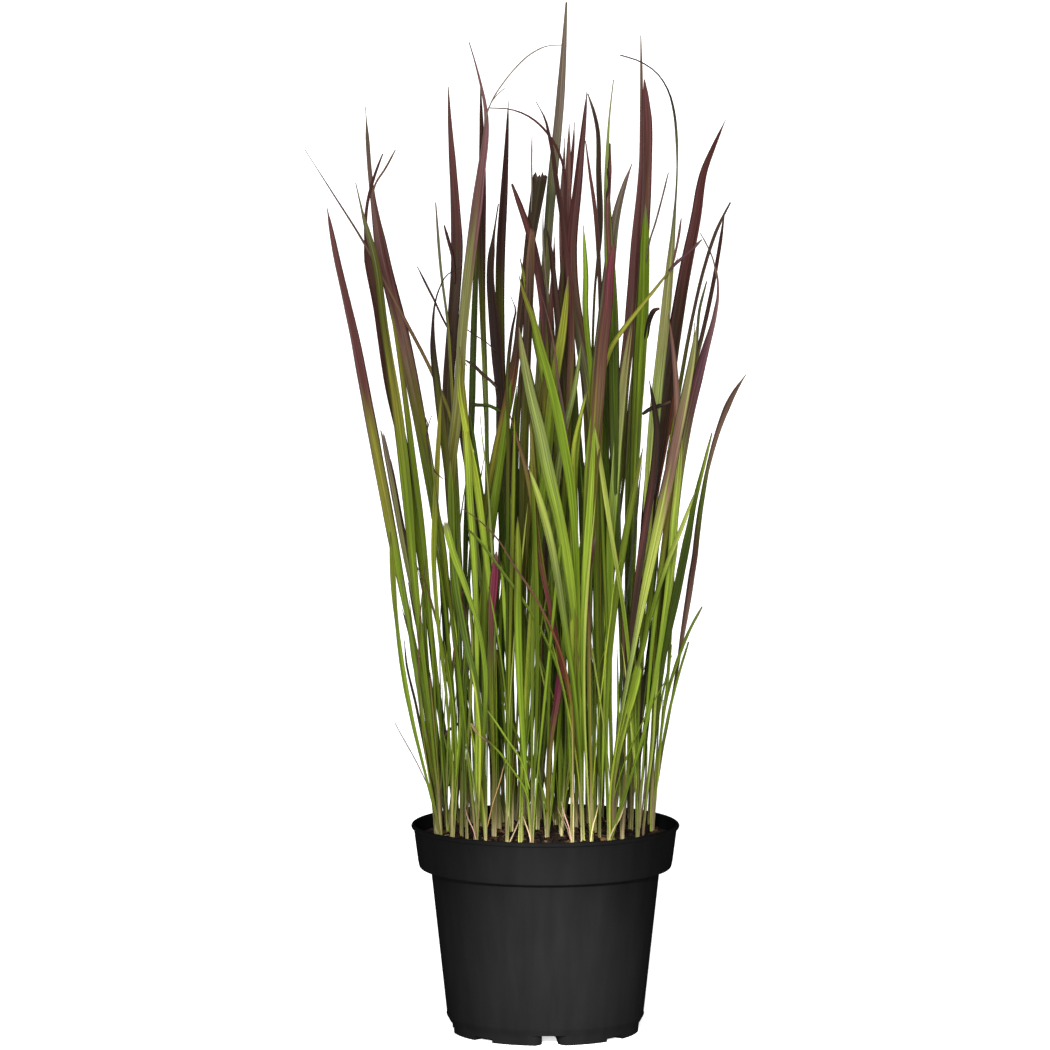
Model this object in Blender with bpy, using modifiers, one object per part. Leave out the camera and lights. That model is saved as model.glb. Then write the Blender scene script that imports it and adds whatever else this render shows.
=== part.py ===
# Potted japanese blood grass: a round nursery pot, its soil and a tuft of upright shoots.
# Lengths are millimetres until a mesh is made, where MM turns them to metres.
# The origin is on the pot's axis, at the level it stands on; the front is -Y.

import math

import bmesh
import bpy
import numpy as np
from mathutils import Matrix

MM = 0.001

# Pot
POT_HEIGHT = 148.0
RIM_RADIUS = 95.0
BAND_TOP_RADIUS = 93.0
BAND_LOW_RADIUS = 89.9
BAND_LOW_Z = 120.8
BAND_ROUND_Z = 117.2
SHOULDER_Z = 115.4
BODY_TOP_RADIUS = 80.9
BODY_LOW_RADIUS = 69.6
BODY_LOW_Z = 12.0
FOOT_RADIUS = 66.2
FOOT_CHAMFER = 6.0
WALL = 1.3
FLOOR = 1.5
ROUND_STEPS = 40

# Drainage channels under the floor, with a small notch halfway between two of them
CHANNELS = 4
CHANNEL_TURN = math.radians(-86.9)
CHANNEL_HEIGHT = 7.2
CHANNEL_HALF_WIDTH = 5.5
CHANNEL_MOUTH_RADIUS = 10.0
CHANNEL_MOUTH_START = 56.0
CHANNEL_INNER_END = 26.0
DRAIN_HOLE_RADIUS = 3.5
DRAIN_HOLE_PLACE = 42.0
NOTCH_HEIGHT = 3.0
NOTCH_HALF_WIDTH = 8.5
NOTCH_INNER_END = 58.0
CUT_REACH = 76.0
CUT_BELOW = 3.0

# Soil
SOIL_TOP = 141.0
SOIL_FALL = 2.5
SOIL_EDGE_RADIUS = 90.3
SOIL_STEPS = 20
GAP = 0.3

# Shoots; the blades' courses are drawn as seen from the eye point
EYE = np.array([-14.4, -5000.0, 903.0])
EYE_DISTANCE = 5000.0
BLADE_START = 3.0
CULM_SIDES = 5
CULM_RADIUS = 2.3
CULM_HEIGHT = 34.0
SECTIONS = 7
THINNEST = 0.9
COURSE_POINTS = 40
DEPTH_SPREAD = 1.4
FOOT_SHARE = 0.36
FOOT_WIDTH = 2.4
TAPER_POWER = {"point": 8.0, "tail": 3.0, "torn": 40.0}
TORN_END = 0.6
SEED = 11

# Spacing of blades of different shoots, worked out at these heights
LEVELS = np.arange(150.0, 724.0, 8.0)
FREE_ABOVE = 190.0
CLEARANCE = 1.0
LEAST_SPACED = 1.6
SPACING_ROUNDS = 260
LARGEST_STEP = 1.5
STEP_SHARE = 0.7

# Each shoot is its base x and y, how many plain blades it has, and its drawn blades.
# A drawn blade is the depth y that its tip leans to, its greatest width, its taper, and the points
# of its course from the tip down, as (x, z) seen from the eye point in the plane y = 0.
SHOOTS = [
    (-74, 14, 1, [
        (30, 8.5, "point", [(-153, 583), (-147, 550), (-136, 500), (-117, 400), (-98, 300), (-83, 230),
                            (-76, 170)]),
        (8, 4.0, "torn", [(-115, 427), (-109, 395), (-101, 350), (-89, 285), (-78, 210), (-74.5, 170)])]),
    (-77, -6, 1, [
        (4, 5.0, "point", [(-101, 300), (-95, 280), (-86.5, 238), (-81, 200), (-77.5, 165)]),
        (-14, 3.6, "point", [(-99.5, 278), (-98, 262), (-91.5, 233), (-83.5, 192), (-78, 160)])]),
    (-73.5, -26, 1, [
        (-62, 8.5, "point", [(-133, 601), (-127, 575), (-120, 550), (-113, 500), (-105, 450), (-99, 400),
                             (-91, 310), (-80, 210), (-75.5, 165)])]),
    (-70, 30, 1, [
        (70, 4.0, "torn", [(-110, 408), (-105, 380), (-95, 330), (-84, 265), (-75, 205), (-71.5, 165)]),
        (38, 5.0, "point", [(-96.7, 319), (-92, 296), (-84, 255), (-76, 205), (-72, 165)])]),
    (-69, -2, 1, [
        (-4, 8.0, "point", [(-114, 621), (-120, 605), (-125, 585), (-126, 560), (-118, 512), (-109, 455),
                            (-97, 400), (-87, 330), (-76, 245), (-71, 185)]),
        (-28, 1.8, "tail", [(-71.5, 330), (-74, 295), (-74, 240), (-72, 195), (-70, 165)])]),
    (-65.4, -42, 1, [
        (-60, 3.0, "point", [(-92, 333), (-86, 322), (-79, 300), (-72, 272), (-67, 240), (-65.5, 190)]),
        (-80, 4.5, "point", [(-73, 455), (-74.5, 430), (-77, 380), (-78.5, 340), (-76, 295), (-70, 240),
                             (-66.5, 185)])]),
    (-62, 38, 1, [
        (78, 8.5, "point", [(-126, 654), (-122, 600), (-114, 550), (-102, 500), (-91, 448), (-80, 385),
                            (-72, 325), (-66.5, 240), (-63, 175)])]),
    (-59, -18, 0, [
        (-40, 3.2, "tail", [(-168.5, 624), (-150, 595), (-128, 560), (-100, 507), (-79.5, 467), (-67, 437),
                            (-62, 390), (-60, 320), (-59.5, 220)]),
        (-32, 3.0, "tail", [(-77, 587), (-73.5, 540), (-68.5, 500), (-66, 460), (-63.5, 400), (-60, 300),
                            (-59, 200)])]),
    (-56, 12, 0, [
        (10, 8.0, "point", [(-68, 668), (-67, 640), (-64.5, 600), (-62.5, 550), (-65.5, 500), (-68.5, 455),
                            (-67.5, 400), (-63, 320), (-59, 240), (-57, 180)]),
        (-2, 3.0, "point", [(-61, 368), (-62, 338), (-59, 311), (-54.5, 285), (-52.5, 240),
                            (-54.5, 180)])]),
    (-55, -50, 0, [
        (-58, 8.5, "tail", [(-53.5, 699), (-48, 680), (-42, 650), (-46.5, 600), (-52, 560), (-58.5, 500),
                            (-61.5, 450), (-67, 395), (-66, 340), (-61, 250), (-56.5, 180)]),
        (-92, 5.0, "point", [(-60, 541), (-68, 537), (-76.5, 520), (-79, 495), (-75.5, 455), (-69, 400),
                             (-63, 320), (-58, 220)])]),
    (-52, 52, 1, [
        (100, 5.0, "point", [(-46, 600), (-48, 555), (-50, 500), (-52, 430), (-56, 350), (-56.5, 270),
                             (-53, 180)])]),
    (-48.5, -64, 1, [
        (-104, 8.0, "point", [(-67, 405), (-66.5, 370), (-64.5, 325), (-57, 280), (-48, 240), (-44.5, 205),
                              (-47.5, 160)]),
        (-118, 6.0, "torn", [(-71, 363), (-65.5, 342), (-57, 318), (-48, 291), (-43, 262), (-42.5, 225),
                             (-46, 180)])]),
    (-45, 20, 1, [
        (-6, 7.0, "torn", [(-3, 609), (-6, 590), (-11, 557), (-16, 520), (-21, 478), (-26, 448),
                           (-35, 407), (-42, 370), (-43.5, 320), (-44, 200)])]),
    (-42, -40, 1, [
        (-44, 8.0, "point", [(-24, 463), (-27, 435), (-33, 393), (-39, 352), (-42.5, 300), (-43, 220)])]),
    (-38, 60, 0, [
        (92, 6.0, "point", [(-45.5, 669), (-44.5, 620), (-45, 560), (-44.5, 520), (-42, 450), (-40.5, 370),
                            (-39, 250)]),
        (60, 5.5, "point", [(-20, 458), (-24, 420), (-30, 360), (-35, 290), (-38, 200)])]),
    (-36, -24, 0, [
        (-70, 5.5, "point", [(-58.5, 479), (-60.5, 465), (-56.5, 430), (-49.5, 395), (-44, 355),
                             (-39, 310), (-36.5, 240), (-36, 180)]),
        (-70, 7.5, "point", [(-34.5, 341), (-36, 322), (-38, 298), (-38.5, 250), (-36.8, 190)])]),
    (-33, 4, 1, [
        (-20, 4.5, "point", [(-62.5, 457), (-59.5, 425), (-53.5, 390), (-48, 338), (-41.5, 290),
                             (-36.5, 240), (-34, 190)])]),
    (-29.5, 40, 1, [
        (56, 7.0, "point", [(-26, 658), (-29, 600), (-32, 545), (-32, 490), (-31, 420), (-30, 330),
                            (-30, 220)])]),
    (-27, -66, 1, [
        (-104, 3.6, "point", [(-24.5, 521), (-21, 512), (-23, 500), (-26, 475), (-26, 420), (-26.5, 320),
                              (-27.5, 200)])]),
    (-24, -8, 1, [
        (-34, 6.5, "point", [(-23, 425), (-24.5, 380), (-24.5, 330), (-24, 260), (-24, 190)]),
        (2, 4.0, "torn", [(-26.5, 355), (-30, 315), (-32, 280), (-30, 230), (-26, 175)])]),
    (-17.5, -40, 1, [
        (-50, 4.2, "point", [(-8, 388), (-8, 335), (-11, 290), (-14, 240), (-16.5, 185)])]),
    (-15, 30, 0, [
        (46, 7.5, "point", [(14.5, 727), (13, 700), (9.3, 650), (3.5, 590), (0, 540), (-3, 480), (-8, 390),
                            (-13, 250), (-15, 180)]),
        (20, 8.5, "point", [(-33, 586), (-36.5, 562), (-38.5, 540), (-35.5, 500), (-33, 470), (-30, 430),
                            (-25, 360), (-19, 270), (-16, 190)])]),
    (-10, -70, 2, []),
    (-5.5, 2, 0, [
        (-22, 4.5, "point", [(-23.5, 600), (-16, 580), (-9.5, 560), (-3.5, 530), (0, 490), (0, 430),
                             (-2, 340), (-5, 220)]),
        (24, 1.8, "tail", [(-39, 653), (-20, 651), (-6, 643), (5, 630), (12, 614), (13.5, 580), (10, 500),
                           (3, 380), (-3, 250)])]),
    (-4, 58, 0, [
        (88, 8.0, "point", [(16.5, 642), (15.5, 600), (14, 555), (10, 500), (9.5, 460), (8, 400), (3, 320),
                            (-2, 220)]),
        (64, 6.0, "point", [(-12, 470), (-9, 430), (-5, 360), (-4, 290), (-4, 210)])]),
    (1.5, -30, 1, [
        (-40, 8.0, "point", [(10.5, 273), (10.8, 258), (8.5, 238), (5, 216), (2.5, 190)]),
        (-34, 6.0, "point", [(25, 488), (20.5, 458), (13.5, 428), (8.5, 400), (5, 360), (3.5, 300),
                             (2, 220)])]),
    (7.5, 24, 2, [
        (34, 3.2, "point", [(11, 206), (13, 195), (12.3, 182), (9, 165)])]),
    (11, -30, 2, []),
    (18.5, -62, 0, [
        (-92, 2.6, "tail", [(-58, 371), (-49, 364.5), (-35, 351), (-22.6, 332), (-9, 311), (5, 284),
                            (13, 262), (18, 235), (19.3, 190)]),
        (-76, 5.0, "point", [(30, 456), (25, 438), (20.5, 418), (19.5, 380), (19, 320), (18.5, 230)])]),
    (22, 10, 0, [
        (-30, 11.0, "point", [(-18.5, 499), (-15.5, 480), (-10.5, 455), (-4, 425), (0.5, 395), (6.5, 362),
                              (13, 312), (18, 260), (21.5, 200)]),
        (-4, 7.5, "point", [(-18, 548), (-15, 536), (-9, 505), (0, 465), (7.5, 430), (14, 395), (19, 350),
                            (22, 300), (22.5, 210)])]),
    (26, -44, 0, [
        (-98, 7.5, "point", [(-12, 401), (-6, 383), (2, 354), (8.5, 322), (14.5, 283), (20, 242),
                             (25, 185)]),
        (-84, 7.0, "tail", [(-26, 441), (-20, 421), (-14, 400), (-7.5, 365), (-3, 333), (3, 303),
                            (10, 268), (18, 235), (25, 170)])]),
    (30, 46, 0, [
        (84, 8.5, "point", [(29, 665), (26.5, 640), (22.5, 600), (18.3, 555), (19, 530), (23, 500),
                            (28.5, 465), (31.5, 420), (31.5, 330), (30.5, 220)]),
        (62, 7.0, "point", [(38, 505), (42, 460), (42, 400), (37, 300), (31.5, 200)])]),
    (32, -68, 0, [
        (-108, 6.0, "point", [(34.5, 432), (33, 405), (31, 370), (28, 325), (26.5, 270), (28.5, 200)]),
        (-90, 4.0, "torn", [(35.5, 354), (33, 342), (30, 325), (30.5, 290), (31.5, 230)])]),
    (34.5, 0, 0, [
        (-8, 6.0, "point", [(26.5, 571), (28.3, 540), (28.5, 510), (32, 472), (34.5, 420), (35.5, 330),
                            (34.8, 210)]),
        (16, 2.6, "tail", [(29.5, 663), (35, 645), (37, 605), (38, 565), (34.5, 525), (33, 485), (35, 410),
                           (36, 300)])]),
    (38, -32, 0, [
        (-58, 9.5, "point", [(60.5, 614), (55.5, 600), (50, 579), (45, 540), (41, 500), (37, 460),
                             (35.3, 425), (36, 340), (38, 220)]),
        (-40, 3.0, "point", [(28, 630), (30.5, 612), (35, 580), (37.5, 545), (39, 480), (39, 380),
                             (38.5, 260)])]),
    (41, 64, 0, [
        (112, 9.0, "tail", [(66.5, 704), (67, 670), (66.8, 610), (63.5, 560), (59.5, 500), (55, 460),
                            (51, 400), (45, 340), (41, 260), (41, 190)])]),
    (44.5, -58, 1, [
        (-104, 8.5, "point", [(106, 500), (103, 478), (97, 446), (89, 406), (79, 358), (69, 310),
                              (60, 262), (51, 210), (46, 170)])]),
    (46.5, -45, 0, [
        (-66, 6.5, "torn", [(66, 263), (61.5, 243), (56.5, 224), (50, 194), (46.8, 168)]),
        (-62, 4.0, "point", [(93, 548), (84.5, 536), (73, 521.5), (58, 502.5), (47, 487), (40, 467),
                             (38, 430), (39.5, 370), (43, 290), (46, 200)])]),
    (48.5, 26, 1, [
        (10, 5.0, "point", [(105.5, 384), (96.5, 360), (87, 336), (76, 304), (66, 267), (57, 228),
                            (51, 180)])]),
    (54, 44, 0, [
        (66, 10.0, "point", [(70, 586), (69.5, 555), (68.5, 515), (66, 470), (63.5, 415), (61, 345),
                             (58, 270), (55, 190)]),
        (92, 8.0, "tail", [(69, 673), (71, 640), (70.5, 600), (68, 550), (64, 480), (60, 400), (57, 300),
                           (55, 210)])]),
    (54, -34, 1, [
        (-66, 7.5, "point", [(47.5, 673), (44.5, 645), (43, 605), (44.5, 560), (47, 510), (48, 450),
                             (50, 380), (53, 290), (54, 200)])]),
    (60, 8, 0, [
        (36, 10.0, "point", [(126, 645), (119, 629), (112, 612), (105, 573), (98, 538), (91, 495),
                             (84, 450), (76.5, 405), (70, 350), (66, 300), (62, 220)]),
        (-6, 3.5, "tail", [(129.5, 587), (121, 570), (111, 540), (102, 500), (94.5, 458), (87, 410),
                           (78, 340), (68, 270), (62, 200)])]),
    (64.5, -42, 0, [
        (-84, 4.5, "point", [(34.5, 430), (40, 395), (47, 348), (53.5, 310), (58.5, 270), (61, 230),
                             (64, 180)]),
        (-64, 9.0, "tail", [(52, 690), (67, 685), (80, 675), (87, 662), (91, 640), (92, 610), (90, 575),
                            (87, 540), (83, 497), (78, 450), (74, 400), (70, 330), (65.5, 210)])]),
    (66.5, 26, 1, [
        (60, 6.0, "point", [(86.5, 508), (90.5, 475), (88.5, 446), (82.5, 414), (76, 375), (70, 320),
                            (68, 250), (66.8, 190)])]),
    (69, -8, 0, [
        (-26, 7.5, "point", [(117, 425), (112, 405), (105, 377), (99.5, 348), (92, 310), (84.5, 273),
                             (79.5, 235), (77, 205), (71.5, 165)]),
        (12, 7.5, "tail", [(119.5, 541), (121, 526), (118.5, 508), (111, 480), (103.5, 450), (96.5, 415),
                           (91.5, 375), (87.5, 318), (82, 260), (76.5, 200), (71.5, 165)])]),
    (74, 40, 0, [
        (58, 4.8, "point", [(140.7, 466), (131, 451), (123, 432), (115.5, 406), (109, 372), (104, 332),
                            (98, 292), (90, 240), (82.5, 200), (76.5, 165)]),
        (96, 3.2, "tail", [(125, 578), (122.5, 560), (115, 517), (106, 478), (98, 448), (90, 410),
                           (84, 350), (78, 260), (75, 190)])]),
    (76, 12, 0, [
        (8, 2.0, "tail", [(110.5, 302), (102, 286), (92, 260), (85, 235), (81, 205), (77.5, 170)]),
        (26, 1.8, "tail", [(101, 277), (95, 257), (88, 230), (82, 200), (77.3, 165)]),
        (-10, 1.8, "tail", [(88.8, 275), (87, 255), (83.5, 226), (79.5, 190), (76.5, 165)])]),
]

# Shoots that stand behind and between the drawn ones: base x, base y, number of plain blades
PLAIN_SHOOTS = [
    (-14, 74, 3), (14, 76, 3), (-64, 60, 3), (60, 64, 3),
    (-36, 80, 3), (22, 32, 3), (-20, 56, 3), (12, -8, 3),
]


def smooth_course(points, count):
    """A curve through the points: each span is a cubic whose end slopes follow its neighbours."""
    points = np.asarray(points, float)
    chord = np.linalg.norm(np.diff(points, axis=0), axis=1)
    at = np.concatenate([[0.0], np.cumsum(chord)])
    slope = np.gradient(points, at, axis=0)
    t = np.linspace(0.0, at[-1], count)
    span = np.clip(np.searchsorted(at, t, side="right") - 1, 0, len(at) - 2)
    length = (at[span + 1] - at[span])[:, None]
    s = ((t - at[span])[:, None]) / length
    start = (2 * s**3 - 3 * s**2 + 1) * points[span] + (s**3 - 2 * s**2 + s) * length * slope[span]
    end = (3 * s**2 - 2 * s**3) * points[span + 1] + (s**3 - s**2) * length * slope[span + 1]
    return start + end


def soil_height(x, y):
    """Height of the soil's low mound above the ground."""
    return SOIL_TOP - SOIL_FALL * (x * x + y * y) / SOIL_EDGE_RADIUS**2


def blade_width(width, taper, count):
    """Narrow where it leaves the culm, widest past the middle, then down to the tip."""
    s = np.linspace(0.0, 1.0, count)
    low = np.clip(s / 0.5, 0.0, 1.0)
    full = FOOT_SHARE + (1 - FOOT_SHARE) * low * low * (3 - 2 * low)
    base = min(1.0, FOOT_WIDTH / (FOOT_SHARE * width))
    full = full * (base + (1 - base) * low)
    least = TORN_END if taper == "torn" else 0.0
    return width * full * np.maximum((1 - s**TAPER_POWER[taper]) ** 0.75, least)


def drawn_blade(base, blade, turn):
    """A blade whose course is seen from the eye: each point slides along its line of sight to its depth."""
    depth, width, taper, seen = blade
    x, y = base
    sight = (EYE_DISTANCE + y) / EYE_DISTANCE
    foot = EYE[[0, 2]] + (np.array([x, soil_height(x, y) + BLADE_START]) - EYE[[0, 2]]) / sight
    course = smooth_course([tuple(foot)] + seen[::-1], COURSE_POINTS)
    rise = np.clip((course[:, 1] - foot[1]) / (max(p[1] for p in seen) - foot[1]), 0.0, 1.0)
    y_course = y + (depth - y) * DEPTH_SPREAD * rise**1.4
    flat = np.stack([course[:, 0], np.zeros(COURSE_POINTS), course[:, 1]], axis=1)
    path = EYE + (flat - EYE) * ((EYE_DISTANCE + y_course) / EYE_DISTANCE)[:, None]
    return {"path": path, "width": blade_width(width, taper, COURSE_POINTS), "turn": turn, "drawn": True,
            "sections": SECTIONS + (2 if len(seen) > 9 else 0), "taper": taper}


def plain_blade(base, rng):
    """A blade that rises from its base and leans outwards as it climbs."""
    x, y = base
    height = rng.uniform(300.0, 470.0)
    lean = rng.uniform(0.3, 0.85) * (height - SOIL_TOP) / 330.0
    side = rng.normal(0.0, 9.0, 2)
    tip = np.array([x * (1 + lean) + side[0], y * (1 + lean) + side[1], height])
    s = np.linspace(0.0, 1.0, COURSE_POINTS)[:, None]
    foot = np.array([x, y, soil_height(x, y) + BLADE_START])
    bow = rng.normal(0.0, 7.0, 2)
    path = foot + (tip - foot) * np.hstack([s**1.3, s**1.3, s])
    path[:, :2] += np.sin(math.pi * s) * bow
    width = rng.uniform(5.0, 8.0)
    return {"path": path, "width": blade_width(width, "point", COURSE_POINTS), "turn": rng.uniform(-1.5, 1.5),
            "drawn": False, "sections": SECTIONS - 2, "taper": "point"}


def all_shoots():
    """Every shoot as its base and its list of blades."""
    rng = np.random.default_rng(SEED)
    rows = [(x, y, count, drawn) for x, y, count, drawn in SHOOTS]
    rows += [(x, y, count, []) for x, y, count in PLAIN_SHOOTS]
    shoots = []
    for x, y, plain, drawn in rows:
        blades = [drawn_blade((x, y), blade, rng.choice([-1, 1]) * rng.uniform(0.2, 0.75)) for blade in drawn]
        blades += [plain_blade((x, y), rng) for _ in range(plain)]
        shoots.append({"base": (x, y), "blades": blades})
    return shoots


def part_blades(shoots):
    """Push blades of different shoots apart, level by level, a little at a time.

    A drawn blade moves only along its line of sight, so that it is seen where it was drawn."""
    blades = [(number, blade) for number, shoot in enumerate(shoots) for blade in shoot["blades"]]
    owner = np.array([number for number, _ in blades])
    drawn = np.array([blade["drawn"] for _, blade in blades])[:, None]
    count = len(blades)
    place = np.full((2, count, len(LEVELS)), np.nan)
    reach = np.zeros((count, len(LEVELS)))
    for row, (_, blade) in enumerate(blades):
        top = int(np.argmax(blade["path"][:, 2])) + 1
        x, y, z = blade["path"][:top].T
        inside = (LEVELS >= z[0]) & (LEVELS <= z[-1] + 4.0)
        place[0, row, inside] = np.interp(LEVELS[inside], z, x)
        place[1, row, inside] = np.interp(LEVELS[inside], z, y)
        slope = np.hypot(np.gradient(x, z), np.gradient(y, z))
        half = 0.5 * np.maximum(blade["width"][:top], LEAST_SPACED) * np.sqrt(1 + slope**2)
        reach[row, inside] = np.interp(LEVELS[inside], z, half)
    others = owner[:, None] != owner[None, :]
    order = np.sign(np.arange(count)[:, None] - np.arange(count)[None, :])
    hold = np.clip((LEVELS - LEVELS[0]) / (FREE_ABOVE - LEVELS[0]), 0.0, 1.0)
    place, reach = place.astype(np.float32), reach.astype(np.float32)
    moved = np.zeros_like(place)
    for _ in range(SPACING_ROUNDS):
        x, y = place + moved
        dx = x[:, None] - x[None]
        dy = y[:, None] - y[None]
        need = reach[:, None] + reach[None] + CLEARANCE
        far = np.hypot(dx, dy)
        close = others[:, :, None] & (far < need)
        ahead = np.nansum(np.where(close, dy, 0.0), axis=2)
        along = np.where(np.abs(ahead) > 0.3, np.sign(ahead), order)[:, :, None]
        lack = np.sqrt(np.maximum(need**2 - dx**2, 0.0)) - along * dy
        push_drawn = np.where(close, 0.5 * along * np.maximum(lack, 0.0), 0.0)
        ratio = np.where(close, 0.5 * (need - far) / np.maximum(far, 0.5), 0.0)
        push_x = np.where(drawn, 0.0, np.nansum(ratio * dx, axis=1))
        push_y = np.where(drawn, np.nansum(push_drawn, axis=1), np.nansum(ratio * dy, axis=1))
        push = np.clip(np.stack([push_x, push_y]), -LARGEST_STEP, LARGEST_STEP)
        for _ in range(4):
            padded = np.pad(push, ((0, 0), (0, 0), (1, 1)), mode="edge")
            push = (padded[..., :-2] + 2 * padded[..., 1:-1] + padded[..., 2:]) / 4
        moved += push * hold * STEP_SHARE
    for row, (_, blade) in enumerate(blades):
        z = blade["path"][:, 2]
        shift_x = np.interp(z, LEVELS, moved[0, row])
        shift_y = np.interp(z, LEVELS, moved[1, row])
        if blade["drawn"]:
            depth = blade["path"][:, 1] - EYE[1]
            blade["path"] = EYE + (blade["path"] - EYE) * ((depth + shift_y) / depth)[:, None]
        else:
            blade["path"][:, 0] += shift_x
            blade["path"][:, 1] += shift_y
    return shoots


def new_object(name, mesh, collection, material=None):
    made = bpy.data.objects.new(name, mesh)
    collection.objects.link(made)
    if material:
        mesh.materials.append(material)
    return made


def hide_guide(guide):
    guide.hide_render = True
    guide.display_type = "WIRE"
    return guide


def boolean(target, tool, operation):
    made = target.modifiers.new(operation.lower() + "_" + tool.name, "BOOLEAN")
    made.operation = operation
    made.object = tool
    made.solver = "EXACT"


def principled(name, colour, roughness):
    material = bpy.data.materials.new(name)
    material.use_nodes = True
    shader = material.node_tree.nodes["Principled BSDF"]
    shader.inputs["Base Color"].default_value = (*colour, 1.0)
    shader.inputs["Roughness"].default_value = roughness
    shader.inputs["Metallic"].default_value = 0.0
    return material


def turned(name, profile, collection, material=None, steps=ROUND_STEPS):
    """A profile of (radius, z) points turned about the Z axis."""
    mesh = bpy.data.meshes.new(name)
    points = [(radius * MM, 0.0, z * MM) for radius, z in profile]
    mesh.from_pydata(points, [(i, i + 1) for i in range(len(points) - 1)], [])
    made = new_object(name, mesh, collection, material)
    screw = made.modifiers.new("turn", "SCREW")
    screw.axis = "Z"
    screw.steps = screw.render_steps = steps
    screw.use_merge_vertices = True
    screw.merge_threshold = 0.00005
    screw.use_smooth_shade = True
    return made


def channel_outline(margin):
    """Plan of one drainage channel along +X: round inner end, straight run, flared mouth."""
    half = CHANNEL_HALF_WIDTH + margin
    flare = CHANNEL_MOUTH_RADIUS - margin
    start = CHANNEL_INNER_END + CHANNEL_HALF_WIDTH
    side = [(CUT_REACH, half + flare)]
    for step in range(4):
        angle = math.radians(90.0 * step / 3)
        side.append((CHANNEL_MOUTH_START + flare * math.cos(angle), half + flare - flare * math.sin(angle)))
    for step in range(1, 3):
        angle = math.radians(90.0 * step / 3)
        side.append((start - half * math.sin(angle), half * math.cos(angle)))
    return side + [(start - half, 0.0)] + [(x, -y) for x, y in reversed(side)]


def underside(name, collection, margin, rise):
    """The four channels and four notches as upright blocks that start below the ground."""
    shape = bmesh.new()
    for number in range(CHANNELS):
        turn = CHANNEL_TURN + number * 2 * math.pi / CHANNELS
        spin = Matrix.Rotation(turn, 4, "Z")
        low, high = -CUT_BELOW * MM, (CHANNEL_HEIGHT + rise) * MM
        rings = []
        for z in (low, high):
            rings.append([shape.verts.new(spin @ Matrix.Translation((x * MM, y * MM, z)).to_translation())
                          for x, y in channel_outline(margin)])
        shape.faces.new(rings[0][::-1])
        shape.faces.new(rings[1])
        for i in range(len(rings[0])):
            j = (i + 1) % len(rings[0])
            shape.faces.new((rings[0][i], rings[0][j], rings[1][j], rings[1][i]))
        between = Matrix.Rotation(turn + math.pi / CHANNELS, 4, "Z")
        inner = NOTCH_INNER_END - margin
        top = NOTCH_HEIGHT + rise
        size = Matrix.Diagonal(((CUT_REACH - inner) * MM, 2 * (NOTCH_HALF_WIDTH + margin) * MM,
                                (top + CUT_BELOW) * MM, 1.0))
        centre = Matrix.Translation(((CUT_REACH + inner) / 2 * MM, 0.0, (top - CUT_BELOW) / 2 * MM))
        bmesh.ops.create_cube(shape, size=1.0, matrix=between @ centre @ size)
    bmesh.ops.recalc_face_normals(shape, faces=shape.faces)
    mesh = bpy.data.meshes.new(name)
    shape.to_mesh(mesh)
    shape.free()
    return hide_guide(new_object(name, mesh, collection))


def drain_holes(collection):
    """One round hole through the roof of each channel."""
    shape = bmesh.new()
    for number in range(CHANNELS):
        spin = Matrix.Rotation(CHANNEL_TURN + number * 2 * math.pi / CHANNELS, 4, "Z")
        place = spin @ Matrix.Translation((DRAIN_HOLE_PLACE * MM, 0.0, (CHANNEL_HEIGHT + 1.0) * MM))
        bmesh.ops.create_cone(shape, cap_ends=True, segments=10, radius1=DRAIN_HOLE_RADIUS * MM,
                              radius2=DRAIN_HOLE_RADIUS * MM, depth=6.0 * MM, matrix=place)
    mesh = bpy.data.meshes.new("drain_holes")
    shape.to_mesh(mesh)
    shape.free()
    return hide_guide(new_object("drain_holes", mesh, collection))


def inner_profile(inset):
    """Inside of the pot's wall from the shoulder down to the floor, drawn in by an inset."""
    return [
        (BAND_LOW_RADIUS - WALL - inset, BAND_LOW_Z + 0.5),
        (BAND_LOW_RADIUS - WALL - 1.2 - inset, BAND_ROUND_Z + 1.1 + inset),
        (BODY_TOP_RADIUS + 5.4 - inset, SHOULDER_Z + 2.6 + inset),
        (BODY_TOP_RADIUS - WALL - inset, SHOULDER_Z + 1.6 + inset),
        (BODY_LOW_RADIUS - WALL - inset, BODY_LOW_Z),
        (FOOT_RADIUS - WALL + 0.3 - inset, BODY_LOW_Z - FOOT_CHAMFER),
        (FOOT_RADIUS - WALL - inset, FLOOR + inset),
        (0.0, FLOOR + inset),
    ]


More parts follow.
